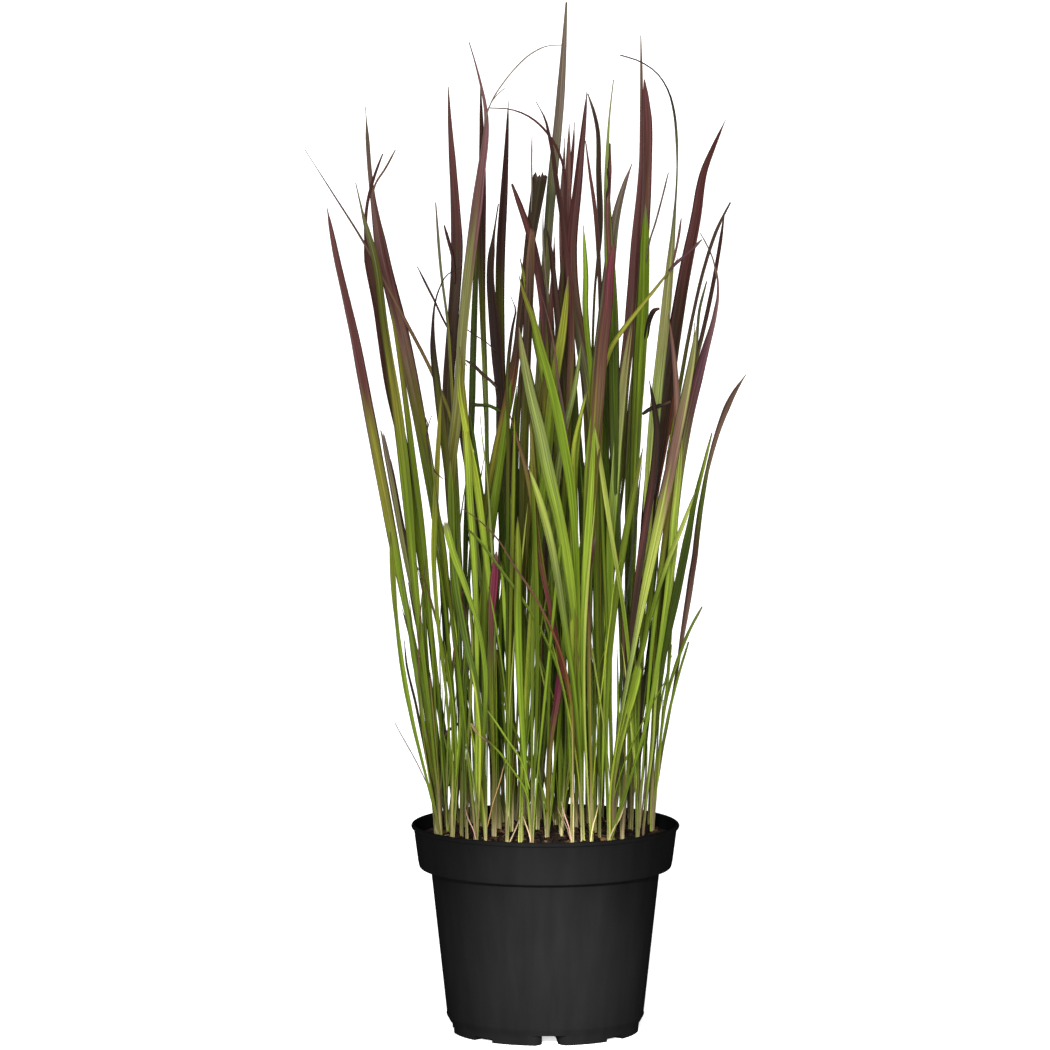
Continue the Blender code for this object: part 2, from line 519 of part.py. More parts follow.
def make_pot(parts, guides):
    plastic = principled("black_plastic", (0.012, 0.012, 0.013), 0.45)
    outer = [
        (0.0, POT_HEIGHT),
        (RIM_RADIUS - 1.2, POT_HEIGHT),
        (RIM_RADIUS, POT_HEIGHT - 1.5),
        (RIM_RADIUS - 0.7, POT_HEIGHT - 3.0),
        (BAND_TOP_RADIUS, POT_HEIGHT - 3.4),
        (BAND_LOW_RADIUS, BAND_LOW_Z),
        (BAND_LOW_RADIUS - 0.9, BAND_ROUND_Z),
        (BAND_LOW_RADIUS - 3.1, SHOULDER_Z + 1.2),
        (BODY_TOP_RADIUS, SHOULDER_Z),
        (BODY_LOW_RADIUS, BODY_LOW_Z),
        (FOOT_RADIUS + 0.6, BODY_LOW_Z - FOOT_CHAMFER),
        (FOOT_RADIUS, 0.0),
        (0.0, 0.0),
    ]
    pot = turned("pot", outer, parts, plastic)
    mouth = [
        (0.0, POT_HEIGHT + 6.0),
        (RIM_RADIUS - 1.9, POT_HEIGHT + 6.0),
        (RIM_RADIUS - 1.9, POT_HEIGHT + 0.2),
        (RIM_RADIUS - 3.1, POT_HEIGHT - 0.8),
        (BAND_TOP_RADIUS - WALL, POT_HEIGHT - 3.6),
    ]
    cavity = hide_guide(turned("cavity", mouth + inner_profile(0.0), guides))
    boolean(cavity, underside("floor_ridges", guides, WALL, FLOOR), "DIFFERENCE")
    boolean(pot, cavity, "DIFFERENCE")
    boolean(pot, underside("channels", guides, 0.0, 0.0), "DIFFERENCE")
    boolean(pot, drain_holes(guides), "DIFFERENCE")


def make_soil(parts, guides):
    humus = principled("dark_soil", (0.020, 0.013, 0.009), 0.95)
    edge = SOIL_EDGE_RADIUS
    radii = [0.0, 0.55 * edge, 0.85 * edge, edge]
    top = [(radius, soil_height(radius, 0.0)) for radius in radii]
    soil = turned("soil", top + inner_profile(GAP + 0.1), parts, humus, SOIL_STEPS)
    boolean(soil, underside("soil_ridges", guides, WALL + GAP, FLOOR + GAP), "DIFFERENCE")


def section_frame(path, turn):
    """Tangent, width and back directions: the width starts square to the line of sight and turns."""
    tangent = np.gradient(path, axis=0)
    tangent /= np.linalg.norm(tangent, axis=1)[:, None]
    sight = path - EYE
    across = np.cross(tangent, sight)
    across /= np.linalg.norm(across, axis=1)[:, None]
    back = np.cross(tangent, across)
    return math.cos(turn) * across + math.sin(turn) * back, math.cos(turn) * back - math.sin(turn) * across


def loft(name, rings, pointed, collection, material=None):
    """Skin a list of rings of equal count; a pointed loft ends in one point."""
    rings = np.asarray(rings) * MM
    stations, sides = rings.shape[:2]
    points = [tuple(point) for point in rings.reshape(-1, 3)]
    if pointed:
        points = points[:-sides] + [tuple(rings[-1].mean(axis=0))]
    faces = [tuple(range(sides))[::-1]]
    last = stations - 1
    for ring in range(last):
        for side in range(sides):
            a, b = ring * sides + side, ring * sides + (side + 1) % sides
            if pointed and ring == last - 1:
                faces.append((a, b, last * sides))
            else:
                faces.append((a, b, b + sides, a + sides))
    if not pointed:
        faces.append(tuple(range(last * sides, last * sides + sides)))
    mesh = bpy.data.meshes.new(name)
    mesh.from_pydata(points, [], faces)
    shape = bmesh.new()
    shape.from_mesh(mesh)
    bmesh.ops.recalc_face_normals(shape, faces=shape.faces)
    shape.to_mesh(mesh)
    shape.free()
    return new_object(name, mesh, collection, material)


def blade_solid(name, blade, guides):
    """A slim three-sided loft: the two edges of the blade and the keel of its midrib."""
    spread = np.linspace(0.0, 1.0, blade["sections"]) ** 0.85
    pick = np.round(spread * (COURSE_POINTS - 1)).astype(int)
    across, back = section_frame(blade["path"], blade["turn"])
    path, across, back = blade["path"][pick], across[pick], back[pick]
    half = 0.5 * np.maximum(blade["width"][pick], THINNEST)[:, None]
    keel = np.clip(0.5 * half, 0.55, 1.0)
    rings = np.stack([path - across * half - back * keel * 0.4, path + across * half - back * keel * 0.4,
                      path + back * keel * 0.6], axis=1)
    return hide_guide(loft(name, rings, blade["taper"] != "torn", guides))


def make_shoot(number, shoot, parts, guides):
    """A short culm with its blades joined to it as one solid."""
    name = f"shoot_{number + 1:02d}"
    shade = 0.85 + 0.3 * ((number * 7) % 10) / 10
    leaf = principled("leaf_" + name, (0.10 * shade, 0.20 * shade, 0.03 * shade), 0.45)
    x, y = shoot["base"]
    foot = soil_height(x, y) + GAP + 0.2
    lead = shoot["blades"][0]["path"]
    rings = []
    for rise, radius in ((0.0, CULM_RADIUS), (CULM_HEIGHT, CULM_RADIUS * 0.6)):
        centre = np.array([np.interp(foot + rise, lead[:, 2], lead[:, 0]),
                           np.interp(foot + rise, lead[:, 2], lead[:, 1]), foot + rise])
        angles = 2 * math.pi * (np.arange(CULM_SIDES) / CULM_SIDES) + number
        circle = np.stack([np.cos(angles), np.sin(angles), np.zeros(CULM_SIDES)], axis=1)
        rings.append(centre + radius * circle)
    culm = loft(name, rings, False, parts, leaf)
    for order, blade in enumerate(shoot["blades"]):
        boolean(culm, blade_solid(f"{name}_blade_{order + 1}", blade, guides), "UNION")


def main():
    for old in list(bpy.data.objects):
        bpy.data.objects.remove(old, do_unlink=True)
    parts = bpy.data.collections.new("potted_japanese_blood_grass")
    guides = bpy.data.collections.new("cutters_and_blades")
    for collection in (parts, guides):
        bpy.context.scene.collection.children.link(collection)
    make_pot(parts, guides)
    make_soil(parts, guides)
    for number, shoot in enumerate(part_blades(all_shoots())):
        make_shoot(number, shoot, parts, guides)


main()
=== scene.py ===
# Potted japanese blood grass: the looks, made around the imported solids.
# Lengths are millimetres until a mesh is made, where mm turns them to metres.
# The origin is on the pot's axis at the level it stands on, and the front is -Y.

import math

import bpy
import numpy as np
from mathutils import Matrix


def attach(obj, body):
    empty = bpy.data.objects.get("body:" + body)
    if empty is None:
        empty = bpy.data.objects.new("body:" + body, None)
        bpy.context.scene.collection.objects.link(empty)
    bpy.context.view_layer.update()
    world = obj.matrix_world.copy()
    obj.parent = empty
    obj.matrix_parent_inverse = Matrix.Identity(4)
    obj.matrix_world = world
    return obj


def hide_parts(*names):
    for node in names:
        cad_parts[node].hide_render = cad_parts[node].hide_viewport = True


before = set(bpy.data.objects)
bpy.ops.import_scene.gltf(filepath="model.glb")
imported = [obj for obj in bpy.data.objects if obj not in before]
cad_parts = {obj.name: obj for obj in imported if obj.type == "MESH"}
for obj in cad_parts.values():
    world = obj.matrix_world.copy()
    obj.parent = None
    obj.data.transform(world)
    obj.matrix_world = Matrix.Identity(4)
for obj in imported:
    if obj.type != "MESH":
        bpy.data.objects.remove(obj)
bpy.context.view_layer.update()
mm = 0.001


def say(stage):
    print("blood grass:", stage)


# Camera, where the photograph was taken from: a long lens 5 m away, a little above the pot
camera = {"place": (-14.4, -5000.0, 903.0), "aim": (-14.4, 0.0, 359.72), "lens": 245.04}


def setCamera():
    lens = bpy.data.cameras.new("photoCamera")
    lens.lens = camera["lens"]
    lens.clip_end = 1000.0
    eye = bpy.data.objects.new("photoCamera", lens)
    bpy.context.scene.collection.objects.link(eye)
    eye.location = [value * mm for value in camera["place"]]
    away = camera["aim"][1] - camera["place"][1]
    down = math.atan2(camera["place"][2] - camera["aim"][2], away)
    eye.rotation_euler = (math.pi / 2 - down, 0.0, 0.0)
    bpy.context.scene.camera = eye


setCamera()


# Colours are written as sRGB hex and turned to linear here
def linear(code):
    parts = np.array([int(code[i:i + 2], 16) for i in (0, 2, 4)]) / 255.0
    return np.where(parts <= 0.04045, parts / 12.92, ((parts + 0.055) / 1.055) ** 2.4)


def colour(code):
    return (*linear(code), 1.0)


def addNode(tree, kind, settings=None, **links):
    # a node with its settings; links give an input's name with underscores, and a value or a socket
    node = tree.nodes.new("ShaderNode" + kind)
    for name, value in (settings or {}).items():
        setattr(node, name, value)
    for name, value in links.items():
        socket = node.inputs[int(name[2:])] if name.startswith("at") else node.inputs[name.replace("_", " ")]
        if isinstance(value, bpy.types.NodeSocket):
            tree.links.new(value, socket)
        else:
            socket.default_value = value
    return node


def newMaterial(name):
    material = bpy.data.materials.new(name)
    material.use_nodes = True
    tree = material.node_tree
    shader = tree.nodes["Principled BSDF"]
    return material, tree, shader


# a noise texture's values lie mostly in this span
noiseSpan = {"From_Min": 0.3, "From_Max": 0.7}


# Each shoot is its base x and y, how many plain leaves it has, and its drawn leaves.
# A drawn leaf is the depth y that its tip leans to, its greatest width, its taper, its colours from
# the tip down with the height of each change, and the points of its course from the tip down, as
# (x, z) seen from the camera in the plane y = 0.
shootTable = [
    (-74, 14, 1, [
        (30, 8.5, "point", "maroon 450 maroon 430 olive 340 green",
         [(-153, 583), (-147, 550), (-136, 500), (-117, 400), (-98, 300), (-83, 230), (-76, 170)]),
        (8, 4, "torn", "greyPurple 405 greyOlive 330 midGreen",
         [(-115, 427), (-109, 395), (-101, 350), (-89, 285), (-78, 210), (-74.5, 170)])]),
    (-77, -6, 1, [
        (4, 5, "point", "purple 296 midGreen 220 olive",
         [(-101, 300), (-95, 280), (-86.5, 238), (-81, 200), (-77.5, 165)]),
        (-14, 3.6, "point", "darkMaroon 225 darkGreen",
         [(-99.5, 278), (-98, 262), (-91.5, 233), (-83.5, 192), (-78, 160)])]),
    (-73.5, -26, 1, [
        (-62, 8.5, "point", "duskOlive 560 darkOlive 480 olive 420 midGreen 300 midGreen",
         [(-133, 601), (-127, 575), (-120, 550), (-113, 500), (-105, 450), (-99, 400), (-91, 310),
          (-80, 210), (-75.5, 165)])]),
    (-70, 30, 1, [
        (70, 4, "torn", "purple 385 greyPurple 330 midGreen",
         [(-110, 408), (-105, 380), (-95, 330), (-84, 265), (-75, 205), (-71.5, 165)]),
        (38, 5, "point", "mauve 300 olive 230 midGreen",
         [(-96.7, 319), (-92, 296), (-84, 255), (-76, 205), (-72, 165)])]),
    (-69, -2, 1, [
        (-4, 8, "point", "darkMaroon 470 darkOlive 400 midGreen",
         [(-114, 621), (-120, 605), (-125, 585), (-126, 560), (-118, 512), (-109, 455), (-97, 400),
          (-87, 330), (-76, 245), (-71, 185)]),
        (-28, 1.8, "tail", "darkMaroon 260 darkGreen",
         [(-71.5, 330), (-74, 295), (-74, 240), (-72, 195), (-70, 165)])]),
    (-65.4, -42, 1, [
        (-60, 3, "point", "brown 310 oliveGreen",
         [(-92, 333), (-86, 322), (-79, 300), (-72, 272), (-67, 240), (-65.5, 190)]),
        (-80, 4.5, "point", "olive 380 oliveGreen 300 midGreen",
         [(-73, 455), (-74.5, 430), (-77, 380), (-78.5, 340), (-76, 295), (-70, 240), (-66.5, 185)])]),
    (-62, 38, 1, [
        (78, 8.5, "point", "smoke 590 mauve 545 maroon 500 pinkBrown 450 olive 400 midGreen",
         [(-126, 654), (-122, 600), (-114, 550), (-102, 500), (-91, 448), (-80, 385), (-72, 325),
          (-66.5, 240), (-63, 175)])]),
    (-59, -18, 0, [
        (-40, 3.2, "tail", "purpleBrown 560 brown 470 olive 390 midGreen",
         [(-168.5, 624), (-150, 595), (-128, 560), (-100, 507), (-79.5, 467), (-67, 437), (-62, 390),
          (-60, 320), (-59.5, 220)]),
        (-32, 3, "tail", "smoke 570 duskOlive 500 olive 430 midGreen",
         [(-77, 587), (-73.5, 540), (-68.5, 500), (-66, 460), (-63.5, 400), (-60, 300), (-59, 200)])]),
    (-56, 12, 0, [
        (10, 8, "point", "maroon 565 darkBrown 440 darkOlive 380 blueGreen",
         [(-68, 668), (-67, 640), (-64.5, 600), (-62.5, 550), (-65.5, 500), (-68.5, 455), (-67.5, 400),
          (-63, 320), (-59, 240), (-57, 180)]),
        (-2, 3, "point", "mauve 330 pinkBrown 270 olive",
         [(-61, 368), (-62, 338), (-59, 311), (-54.5, 285), (-52.5, 240), (-54.5, 180)])]),
    (-55, -50, 0, [
        (-58, 8.5, "tail", "duskMauve 585 mauve 560 greyOlive 430 olive 330 midGreen",
         [(-53.5, 699), (-48, 680), (-42, 650), (-46.5, 600), (-52, 560), (-58.5, 500), (-61.5, 450),
          (-67, 395), (-66, 340), (-61, 250), (-56.5, 180)]),
        (-92, 5, "point", "nearBlack 470 darkOlive 380 darkGreen",
         [(-60, 541), (-68, 537), (-76.5, 520), (-79, 495), (-75.5, 455), (-69, 400), (-63, 320),
          (-58, 220)])]),
    (-52, 52, 1, [
        (100, 5, "point", "darkOlive 520 darkGreen",
         [(-46, 600), (-48, 555), (-50, 500), (-52, 430), (-56, 350), (-56.5, 270), (-53, 180)])]),
    (-48.5, -64, 1, [
        (-104, 8, "point", "midGreen 330 blueGreen",
         [(-67, 405), (-66.5, 370), (-64.5, 325), (-57, 280), (-48, 240), (-44.5, 205), (-47.5, 160)]),
        (-118, 6, "torn", "brightGreen 300 green 230 midGreen",
         [(-71, 363), (-65.5, 342), (-57, 318), (-48, 291), (-43, 262), (-42.5, 225), (-46, 180)])]),
    (-45, 20, 1, [
        (-6, 7, "torn", "pitch 560 darkBrown 460 redBrown 435 olive 370 midGreen",
         [(-3, 609), (-6, 590), (-11, 557), (-16, 520), (-21, 478), (-26, 448), (-35, 407), (-42, 370),
          (-43.5, 320), (-44, 200)])]),
    (-42, -40, 1, [
        (-44, 8, "point", "green 380 midGreen",
         [(-24, 463), (-27, 435), (-33, 393), (-39, 352), (-42.5, 300), (-43, 220)])]),
    (-38, 60, 0, [
        (92, 6, "point", "darkMaroon 540 darkOlive 480 greyGreen 360 midGreen",
         [(-45.5, 669), (-44.5, 620), (-45, 560), (-44.5, 520), (-42, 450), (-40.5, 370), (-39, 250)]),
        (60, 5.5, "point", "midGreen",
         [(-20, 458), (-24, 420), (-30, 360), (-35, 290), (-38, 200)])]),
    (-36, -24, 0, [
        (-70, 5.5, "point", "purple 462 yellowGreen 380 brightGreen 250 midGreen",
         [(-58.5, 479), (-60.5, 465), (-56.5, 430), (-49.5, 395), (-44, 355), (-39, 310), (-36.5, 240),
          (-36, 180)]),
        (-70, 7.5, "point", "magenta 298 brown 270 oliveGreen",
         [(-34.5, 341), (-36, 322), (-38, 298), (-38.5, 250), (-36.8, 190)])]),
    (-33, 4, 1, [
        (-20, 4.5, "point", "purpleBrown 370 greyGreen",
         [(-62.5, 457), (-59.5, 425), (-53.5, 390), (-48, 338), (-41.5, 290), (-36.5, 240), (-34, 190)])]),
    (-29.5, 40, 1, [
        (56, 7, "point", "darkMaroon 540 darkOlive 420 darkGreen",
         [(-26, 658), (-29, 600), (-32, 545), (-32, 490), (-31, 420), (-30, 330), (-30, 220)])]),
    (-27, -66, 1, [
        (-104, 3.6, "point", "nearBlack 490 darkOlive 400 darkGreen",
         [(-24.5, 521), (-21, 512), (-23, 500), (-26, 475), (-26, 420), (-26.5, 320), (-27.5, 200)])]),
    (-24, -8, 1, [
        (-34, 6.5, "point", "darkMaroon 340 darkOlive 260 darkGreen",
         [(-23, 425), (-24.5, 380), (-24.5, 330), (-24, 260), (-24, 190)]),
        (2, 4, "torn", "green",
         [(-26.5, 355), (-30, 315), (-32, 280), (-30, 230), (-26, 175)])]),
    (-17.5, -40, 1, [
        (-50, 4.2, "point", "paleGreen 300 yellowGreen",
         [(-8, 388), (-8, 335), (-11, 290), (-14, 240), (-16.5, 185)])]),
    (-15, 30, 0, [
        (46, 7.5, "point", "greyBrown 640 duskOlive 560 greyOlive 470 greyGreen 400 midGreen",
         [(14.5, 727), (13, 700), (9.3, 650), (3.5, 590), (0, 540), (-3, 480), (-8, 390), (-13, 250),
          (-15, 180)]),
        (20, 8.5, "point", "darkBrown 545 nearBlack 440 pitch 390 darkGreen",
         [(-33, 586), (-36.5, 562), (-38.5, 540), (-35.5, 500), (-33, 470), (-30, 430), (-25, 360),
          (-19, 270), (-16, 190)])]),
    (-10, -70, 2, []),
    (-5.5, 2, 0, [
        (-22, 4.5, "point", "maroon 530 purple 490 olive 430 midGreen",
         [(-23.5, 600), (-16, 580), (-9.5, 560), (-3.5, 530), (0, 490), (0, 430), (-2, 340), (-5, 220)]),
        (24, 1.8, "tail", "maroon 560 darkOlive 480 darkGreen",
         [(-39, 653), (-20, 651), (-6, 643), (5, 630), (12, 614), (13.5, 580), (10, 500), (3, 380),
          (-3, 250)])]),
    (-4, 58, 0, [
        (88, 8, "point", "mauve 600 maroon 530 brown 480 olive 400 midGreen",
         [(16.5, 642), (15.5, 600), (14, 555), (10, 500), (9.5, 460), (8, 400), (3, 320), (-2, 220)]),
        (64, 6, "point", "darkOlive 400 darkGreen",
         [(-12, 470), (-9, 430), (-5, 360), (-4, 290), (-4, 210)])]),
    (1.5, -30, 1, [
        (-40, 8, "point", "magenta 228 brown 205 olive",
         [(10.5, 273), (10.8, 258), (8.5, 238), (5, 216), (2.5, 190)]),
        (-34, 6, "point", "greyGreen 400 midGreen",
         [(25, 488), (20.5, 458), (13.5, 428), (8.5, 400), (5, 360), (3.5, 300), (2, 220)])]),
    (7.5, 24, 2, [
        (34, 3.2, "point", "darkGreen",
         [(11, 206), (13, 195), (12.3, 182), (9, 165)])]),
    (11, -30, 2, []),
    (18.5, -62, 0, [
        (-92, 2.6, "tail", "brown 300 redBrown 235 olive 200 straw",
         [(-58, 371), (-49, 364.5), (-35, 351), (-22.6, 332), (-9, 311), (5, 284), (13, 262), (18, 235),
          (19.3, 190)]),
        (-76, 5, "point", "yellowGreen",
         [(30, 456), (25, 438), (20.5, 418), (19.5, 380), (19, 320), (18.5, 230)])]),
    (22, 10, 0, [
        (-30, 11, "point", "greyOlive 470 olive 440 brightGreen 280 midGreen",
         [(-18.5, 499), (-15.5, 480), (-10.5, 455), (-4, 425), (0.5, 395), (6.5, 362), (13, 312),
          (18, 260), (21.5, 200)]),
        (-4, 7.5, "point", "olive 515 brightGreen 300 dryTan 266 brightGreen",
         [(-18, 548), (-15, 536), (-9, 505), (0, 465), (7.5, 430), (14, 395), (19, 350), (22, 300),
          (22.5, 210)])]),
    (26, -44, 0, [
        (-98, 7.5, "point", "paleGreen 350 greyGreen 300 green",
         [(-12, 401), (-6, 383), (2, 354), (8.5, 322), (14.5, 283), (20, 242), (25, 185)]),
        (-84, 7, "tail", "brown 400 olive 348 magenta 308 redBrown 235 olive",
         [(-26, 441), (-20, 421), (-14, 400), (-7.5, 365), (-3, 333), (3, 303), (10, 268), (18, 235),
          (25, 170)])]),
    (30, 46, 0, [
        (84, 8.5, "point", "maroon 540 brown 450 olive 400 midGreen",
         [(29, 665), (26.5, 640), (22.5, 600), (18.3, 555), (19, 530), (23, 500), (28.5, 465),
          (31.5, 420), (31.5, 330), (30.5, 220)]),
        (62, 7, "point", "darkGreen",
         [(38, 505), (42, 460), (42, 400), (37, 300), (31.5, 200)])]),
    (32, -68, 0, [
        (-108, 6, "point", "brightGreen 300 green",
         [(34.5, 432), (33, 405), (31, 370), (28, 325), (26.5, 270), (28.5, 200)]),
        (-90, 4, "torn", "maroon 310 brown 280 olive",
         [(35.5, 354), (33, 342), (30, 325), (30.5, 290), (31.5, 230)])]),
    (34.5, 0, 0, [
        (-8, 6, "point", "green 300 midGreen",
         [(26.5, 571), (28.3, 540), (28.5, 510), (32, 472), (34.5, 420), (35.5, 330), (34.8, 210)]),
        (16, 2.6, "tail", "darkBrown 500 darkOlive",
         [(29.5, 663), (35, 645), (37, 605), (38, 565), (34.5, 525), (33, 485), (35, 410), (36, 300)])]),
    (38, -32, 0, [
        (-58, 9.5, "point", "smoke 540 duskOlive 470 olive 400 oliveGreen 330 midGreen",
         [(60.5, 614), (55.5, 600), (50, 579), (45, 540), (41, 500), (37, 460), (35.3, 425), (36, 340),
          (38, 220)]),
        (-40, 3, "point", "maroon 560 darkBrown 480 olive",
         [(28, 630), (30.5, 612), (35, 580), (37.5, 545), (39, 480), (39, 380), (38.5, 260)])]),
    (41, 64, 0, [
        (112, 9, "tail", "greyBrown 690 maroon 520 brown 450 oliveGreen 360 midGreen",
         [(66.5, 704), (67, 670), (66.8, 610), (63.5, 560), (59.5, 500), (55, 460), (51, 400), (45, 340),
          (41, 260), (41, 190)])]),
    (44.5, -58, 1, [
        (-104, 8.5, "point", "greyOlive 450 pinkBrown 385 paleGreen 300 greyGreen 230 midGreen",
         [(106, 500), (103, 478), (97, 446), (89, 406), (79, 358), (69, 310), (60, 262), (51, 210),
          (46, 170)])]),
    (46.5, -45, 0, [
        (-66, 6.5, "torn", "brightGreen 220 yellowGreen",
         [(66, 263), (61.5, 243), (56.5, 224), (50, 194), (46.8, 168)]),
        (-62, 4, "point", "brown 532 yellowOlive 470 oliveGreen 380 midGreen",
         [(93, 548), (84.5, 536), (73, 521.5), (58, 502.5), (47, 487), (40, 467), (38, 430), (39.5, 370),
          (43, 290), (46, 200)])]),
    (48.5, 26, 1, [
        (10, 5, "point", "paleGreen 250 green",
         [(105.5, 384), (96.5, 360), (87, 336), (76, 304), (66, 267), (57, 228), (51, 180)])]),
    (54, 44, 0, [
        (66, 10, "point", "green 480 brightGreen 380 green",
         [(70, 586), (69.5, 555), (68.5, 515), (66, 470), (63.5, 415), (61, 345), (58, 270), (55, 190)]),
        (92, 8, "tail", "maroon 600 brown 540 olive 440 midGreen",
         [(69, 673), (71, 640), (70.5, 600), (68, 550), (64, 480), (60, 400), (57, 300), (55, 210)])]),
    (54, -34, 1, [
        (-66, 7.5, "point", "greyOlive 640 greyGreen 600 midGreen 520 darkGreen",
         [(47.5, 673), (44.5, 645), (43, 605), (44.5, 560), (47, 510), (48, 450), (50, 380), (53, 290),
          (54, 200)])]),
    (60, 8, 0, [
        (36, 10, "point", "maroon 540 darkBrown 400 darkMaroon 300 darkGreen",
         [(126, 645), (119, 629), (112, 612), (105, 573), (98, 538), (91, 495), (84, 450), (76.5, 405),
          (70, 350), (66, 300), (62, 220)]),
        (-6, 3.5, "tail", "darkBrown 480 darkOlive 420 olive",
         [(129.5, 587), (121, 570), (111, 540), (102, 500), (94.5, 458), (87, 410), (78, 340), (68, 270),
          (62, 200)])]),
    (64.5, -42, 0, [
        (-84, 4.5, "point", "paleGreen 330 green",
         [(34.5, 430), (40, 395), (47, 348), (53.5, 310), (58.5, 270), (61, 230), (64, 180)]),
        (-64, 9, "tail", "nearBlack 640 duskOlive 560 greyOlive 470 greyGreen 400 paleGreen 330 midGreen",
         [(52, 690), (67, 685), (80, 675), (87, 662), (91, 640), (92, 610), (90, 575), (87, 540),
          (83, 497), (78, 450), (74, 400), (70, 330), (65.5, 210)])]),
    (66.5, 26, 1, [
        (60, 6, "point", "mauve 450 redBrown 400 darkMaroon 320 darkBrown",
         [(86.5, 508), (90.5, 475), (88.5, 446), (82.5, 414), (76, 375), (70, 320), (68, 250),
          (66.8, 190)])]),
    (69, -8, 0, [
        (-26, 7.5, "point", "oliveGreen 400 darkGreen",
         [(117, 425), (112, 405), (105, 377), (99.5, 348), (92, 310), (84.5, 273), (79.5, 235), (77, 205),
          (71.5, 165)]),
        (12, 7.5, "tail", "duskMauve 500 plum 460 mauve 430 greyGreen 380 midGreen",
         [(119.5, 541), (121, 526), (118.5, 508), (111, 480), (103.5, 450), (96.5, 415), (91.5, 375),
          (87.5, 318), (82, 260), (76.5, 200), (71.5, 165)])]),
    (74, 40, 0, [
        (58, 4.8, "point", "brown 440 pinkBrown 405 midGreen 365 maroon 330 pinkBrown 280 brown",
         [(140.7, 466), (131, 451), (123, 432), (115.5, 406), (109, 372), (104, 332), (98, 292),
          (90, 240), (82.5, 200), (76.5, 165)]),
        (96, 3.2, "tail", "darkMaroon 480 olive 400 darkOlive",
         [(125, 578), (122.5, 560), (115, 517), (106, 478), (98, 448), (90, 410), (84, 350), (78, 260),
          (75, 190)])]),
    (76, 12, 0, [
        (8, 2, "tail", "midGreen",
         [(110.5, 302), (102, 286), (92, 260), (85, 235), (81, 205), (77.5, 170)]),
        (26, 1.8, "tail", "green",
         [(101, 277), (95, 257), (88, 230), (82, 200), (77.3, 165)]),
        (-10, 1.8, "tail", "midGreen",
         [(88.8, 275), (87, 255), (83.5, 226), (79.5, 190), (76.5, 165)])]),
]

# Shoots that stand behind and between the drawn ones: base x, base y, number of plain leaves
plainTable = [
    (-14, 74, 3), (14, 76, 3), (-64, 60, 3), (60, 64, 3), (-36, 80, 3), (22, 32, 3), (-20, 56, 3),
    (12, -8, 3),
]

courses = {
    "points": 40, "depthSpread": 1.4, "leafStart": 3.0, "seed": 11,
    "levels": np.arange(150.0, 724.0, 8.0), "freeAbove": 190.0, "clearance": 1.0,
    "rounds": 260, "largestStep": 1.5, "stepShare": 0.7, "smoothings": 4, "overTip": 4.0, "leastWidth": 1.6,
}
eye = np.array(camera["place"])
# How a leaf ends: the power of its taper, and the least share of its width that it keeps
tapers = {"point": (8.0, 0.0), "tail": (3.0, 0.0), "torn": (40.0, 0.6)}
# A leaf's width at its culm: this share of its greatest width, and no more than so many millimetres
leafFoot = {"share": 0.36, "most": 2.4}
# Leaves that fill the clump behind the drawn ones: their height, how far they lean out, and so on
plainShape = {"height": (300.0, 470.0), "lean": (0.3, 0.85), "fullLeanOver": 330.0, "sideways": 9.0,
              "bow": 7.0,
              "width": (5.0, 8.0), "turn": 1.5}
soil = {
    "top": 141.0, "fall": 2.5, "edge": 90.3, "rings": 70, "steps": 240, "roughness": 1.1, "seed": 17,
    # the seed of the swells and of the clods on them, and how wide the widest are
    "swells": (5, 26.0), "clods": (6, 7.0), "rimFade": 6.0, "rimDrop": 0.4,
    "bottom": 12.0, "wallAbove": 20.0, "bedTone": "1c130d",
    "crumbs": 2600, "crumbSize": (0.7, 3.0),
    "crumbTones": ["150e0a", "1e140e", "271a12", "33231a", "47331f", "0f0a08"],
    "chips": 150, "chipSize": (2.0, 5.5), "chipTones": ["5a4028", "3d2a1b", "6e5236", "2a1c12"],
    "rootlets": 90, "rootTones": ["a5876a", "80654a", "c8ab7c", "5e4632"],
}


def soilHeight(x, y):
    # a low mound: it falls with the square of the distance from the middle
    return soil["top"] - soil["fall"] * (x * x + y * y) / soil["edge"] ** 2


def smoothCourse(points, count):
    # a curve through the points: each span is a cubic whose end slopes follow its neighbours
    points = np.asarray(points, float)
    chord = np.linalg.norm(np.diff(points, axis=0), axis=1)
    at = np.concatenate([[0.0], np.cumsum(chord)])
    slope = np.gradient(points, at, axis=0)
    t = np.linspace(0.0, at[-1], count)
    span = np.clip(np.searchsorted(at, t, side="right") - 1, 0, len(at) - 2)
    length = (at[span + 1] - at[span])[:, None]
    s = (t - at[span])[:, None] / length
    start = (2 * s**3 - 3 * s**2 + 1) * points[span] + (s**3 - 2 * s**2 + s) * length * slope[span]
    end = (3 * s**2 - 2 * s**3) * points[span + 1] + (s**3 - s**2) * length * slope[span + 1]
    return start + end


def leafWidth(width, taper, count):
    # narrow where it leaves the culm, widest past the middle, then down to the tip
    s = np.linspace(0.0, 1.0, count)
    low = np.clip(s / 0.5, 0.0, 1.0)
    full = leafFoot["share"] + (1 - leafFoot["share"]) * low * low * (3 - 2 * low)
    base = min(1.0, leafFoot["most"] / (leafFoot["share"] * width))
    full = full * (base + (1 - base) * low)
    power, least = tapers[taper]
    return width * full * np.maximum((1 - s**power) ** 0.75, least)


def alongSight(course, depth):
    # points seen at x and z in the plane y = 0, each slid along its line of sight to its depth y
    flat = np.stack([course[:, 0], np.zeros(len(course)), course[:, 1]], axis=1)
    return eye + (flat - eye) * ((depth - eye[1]) / -eye[1])[:, None]


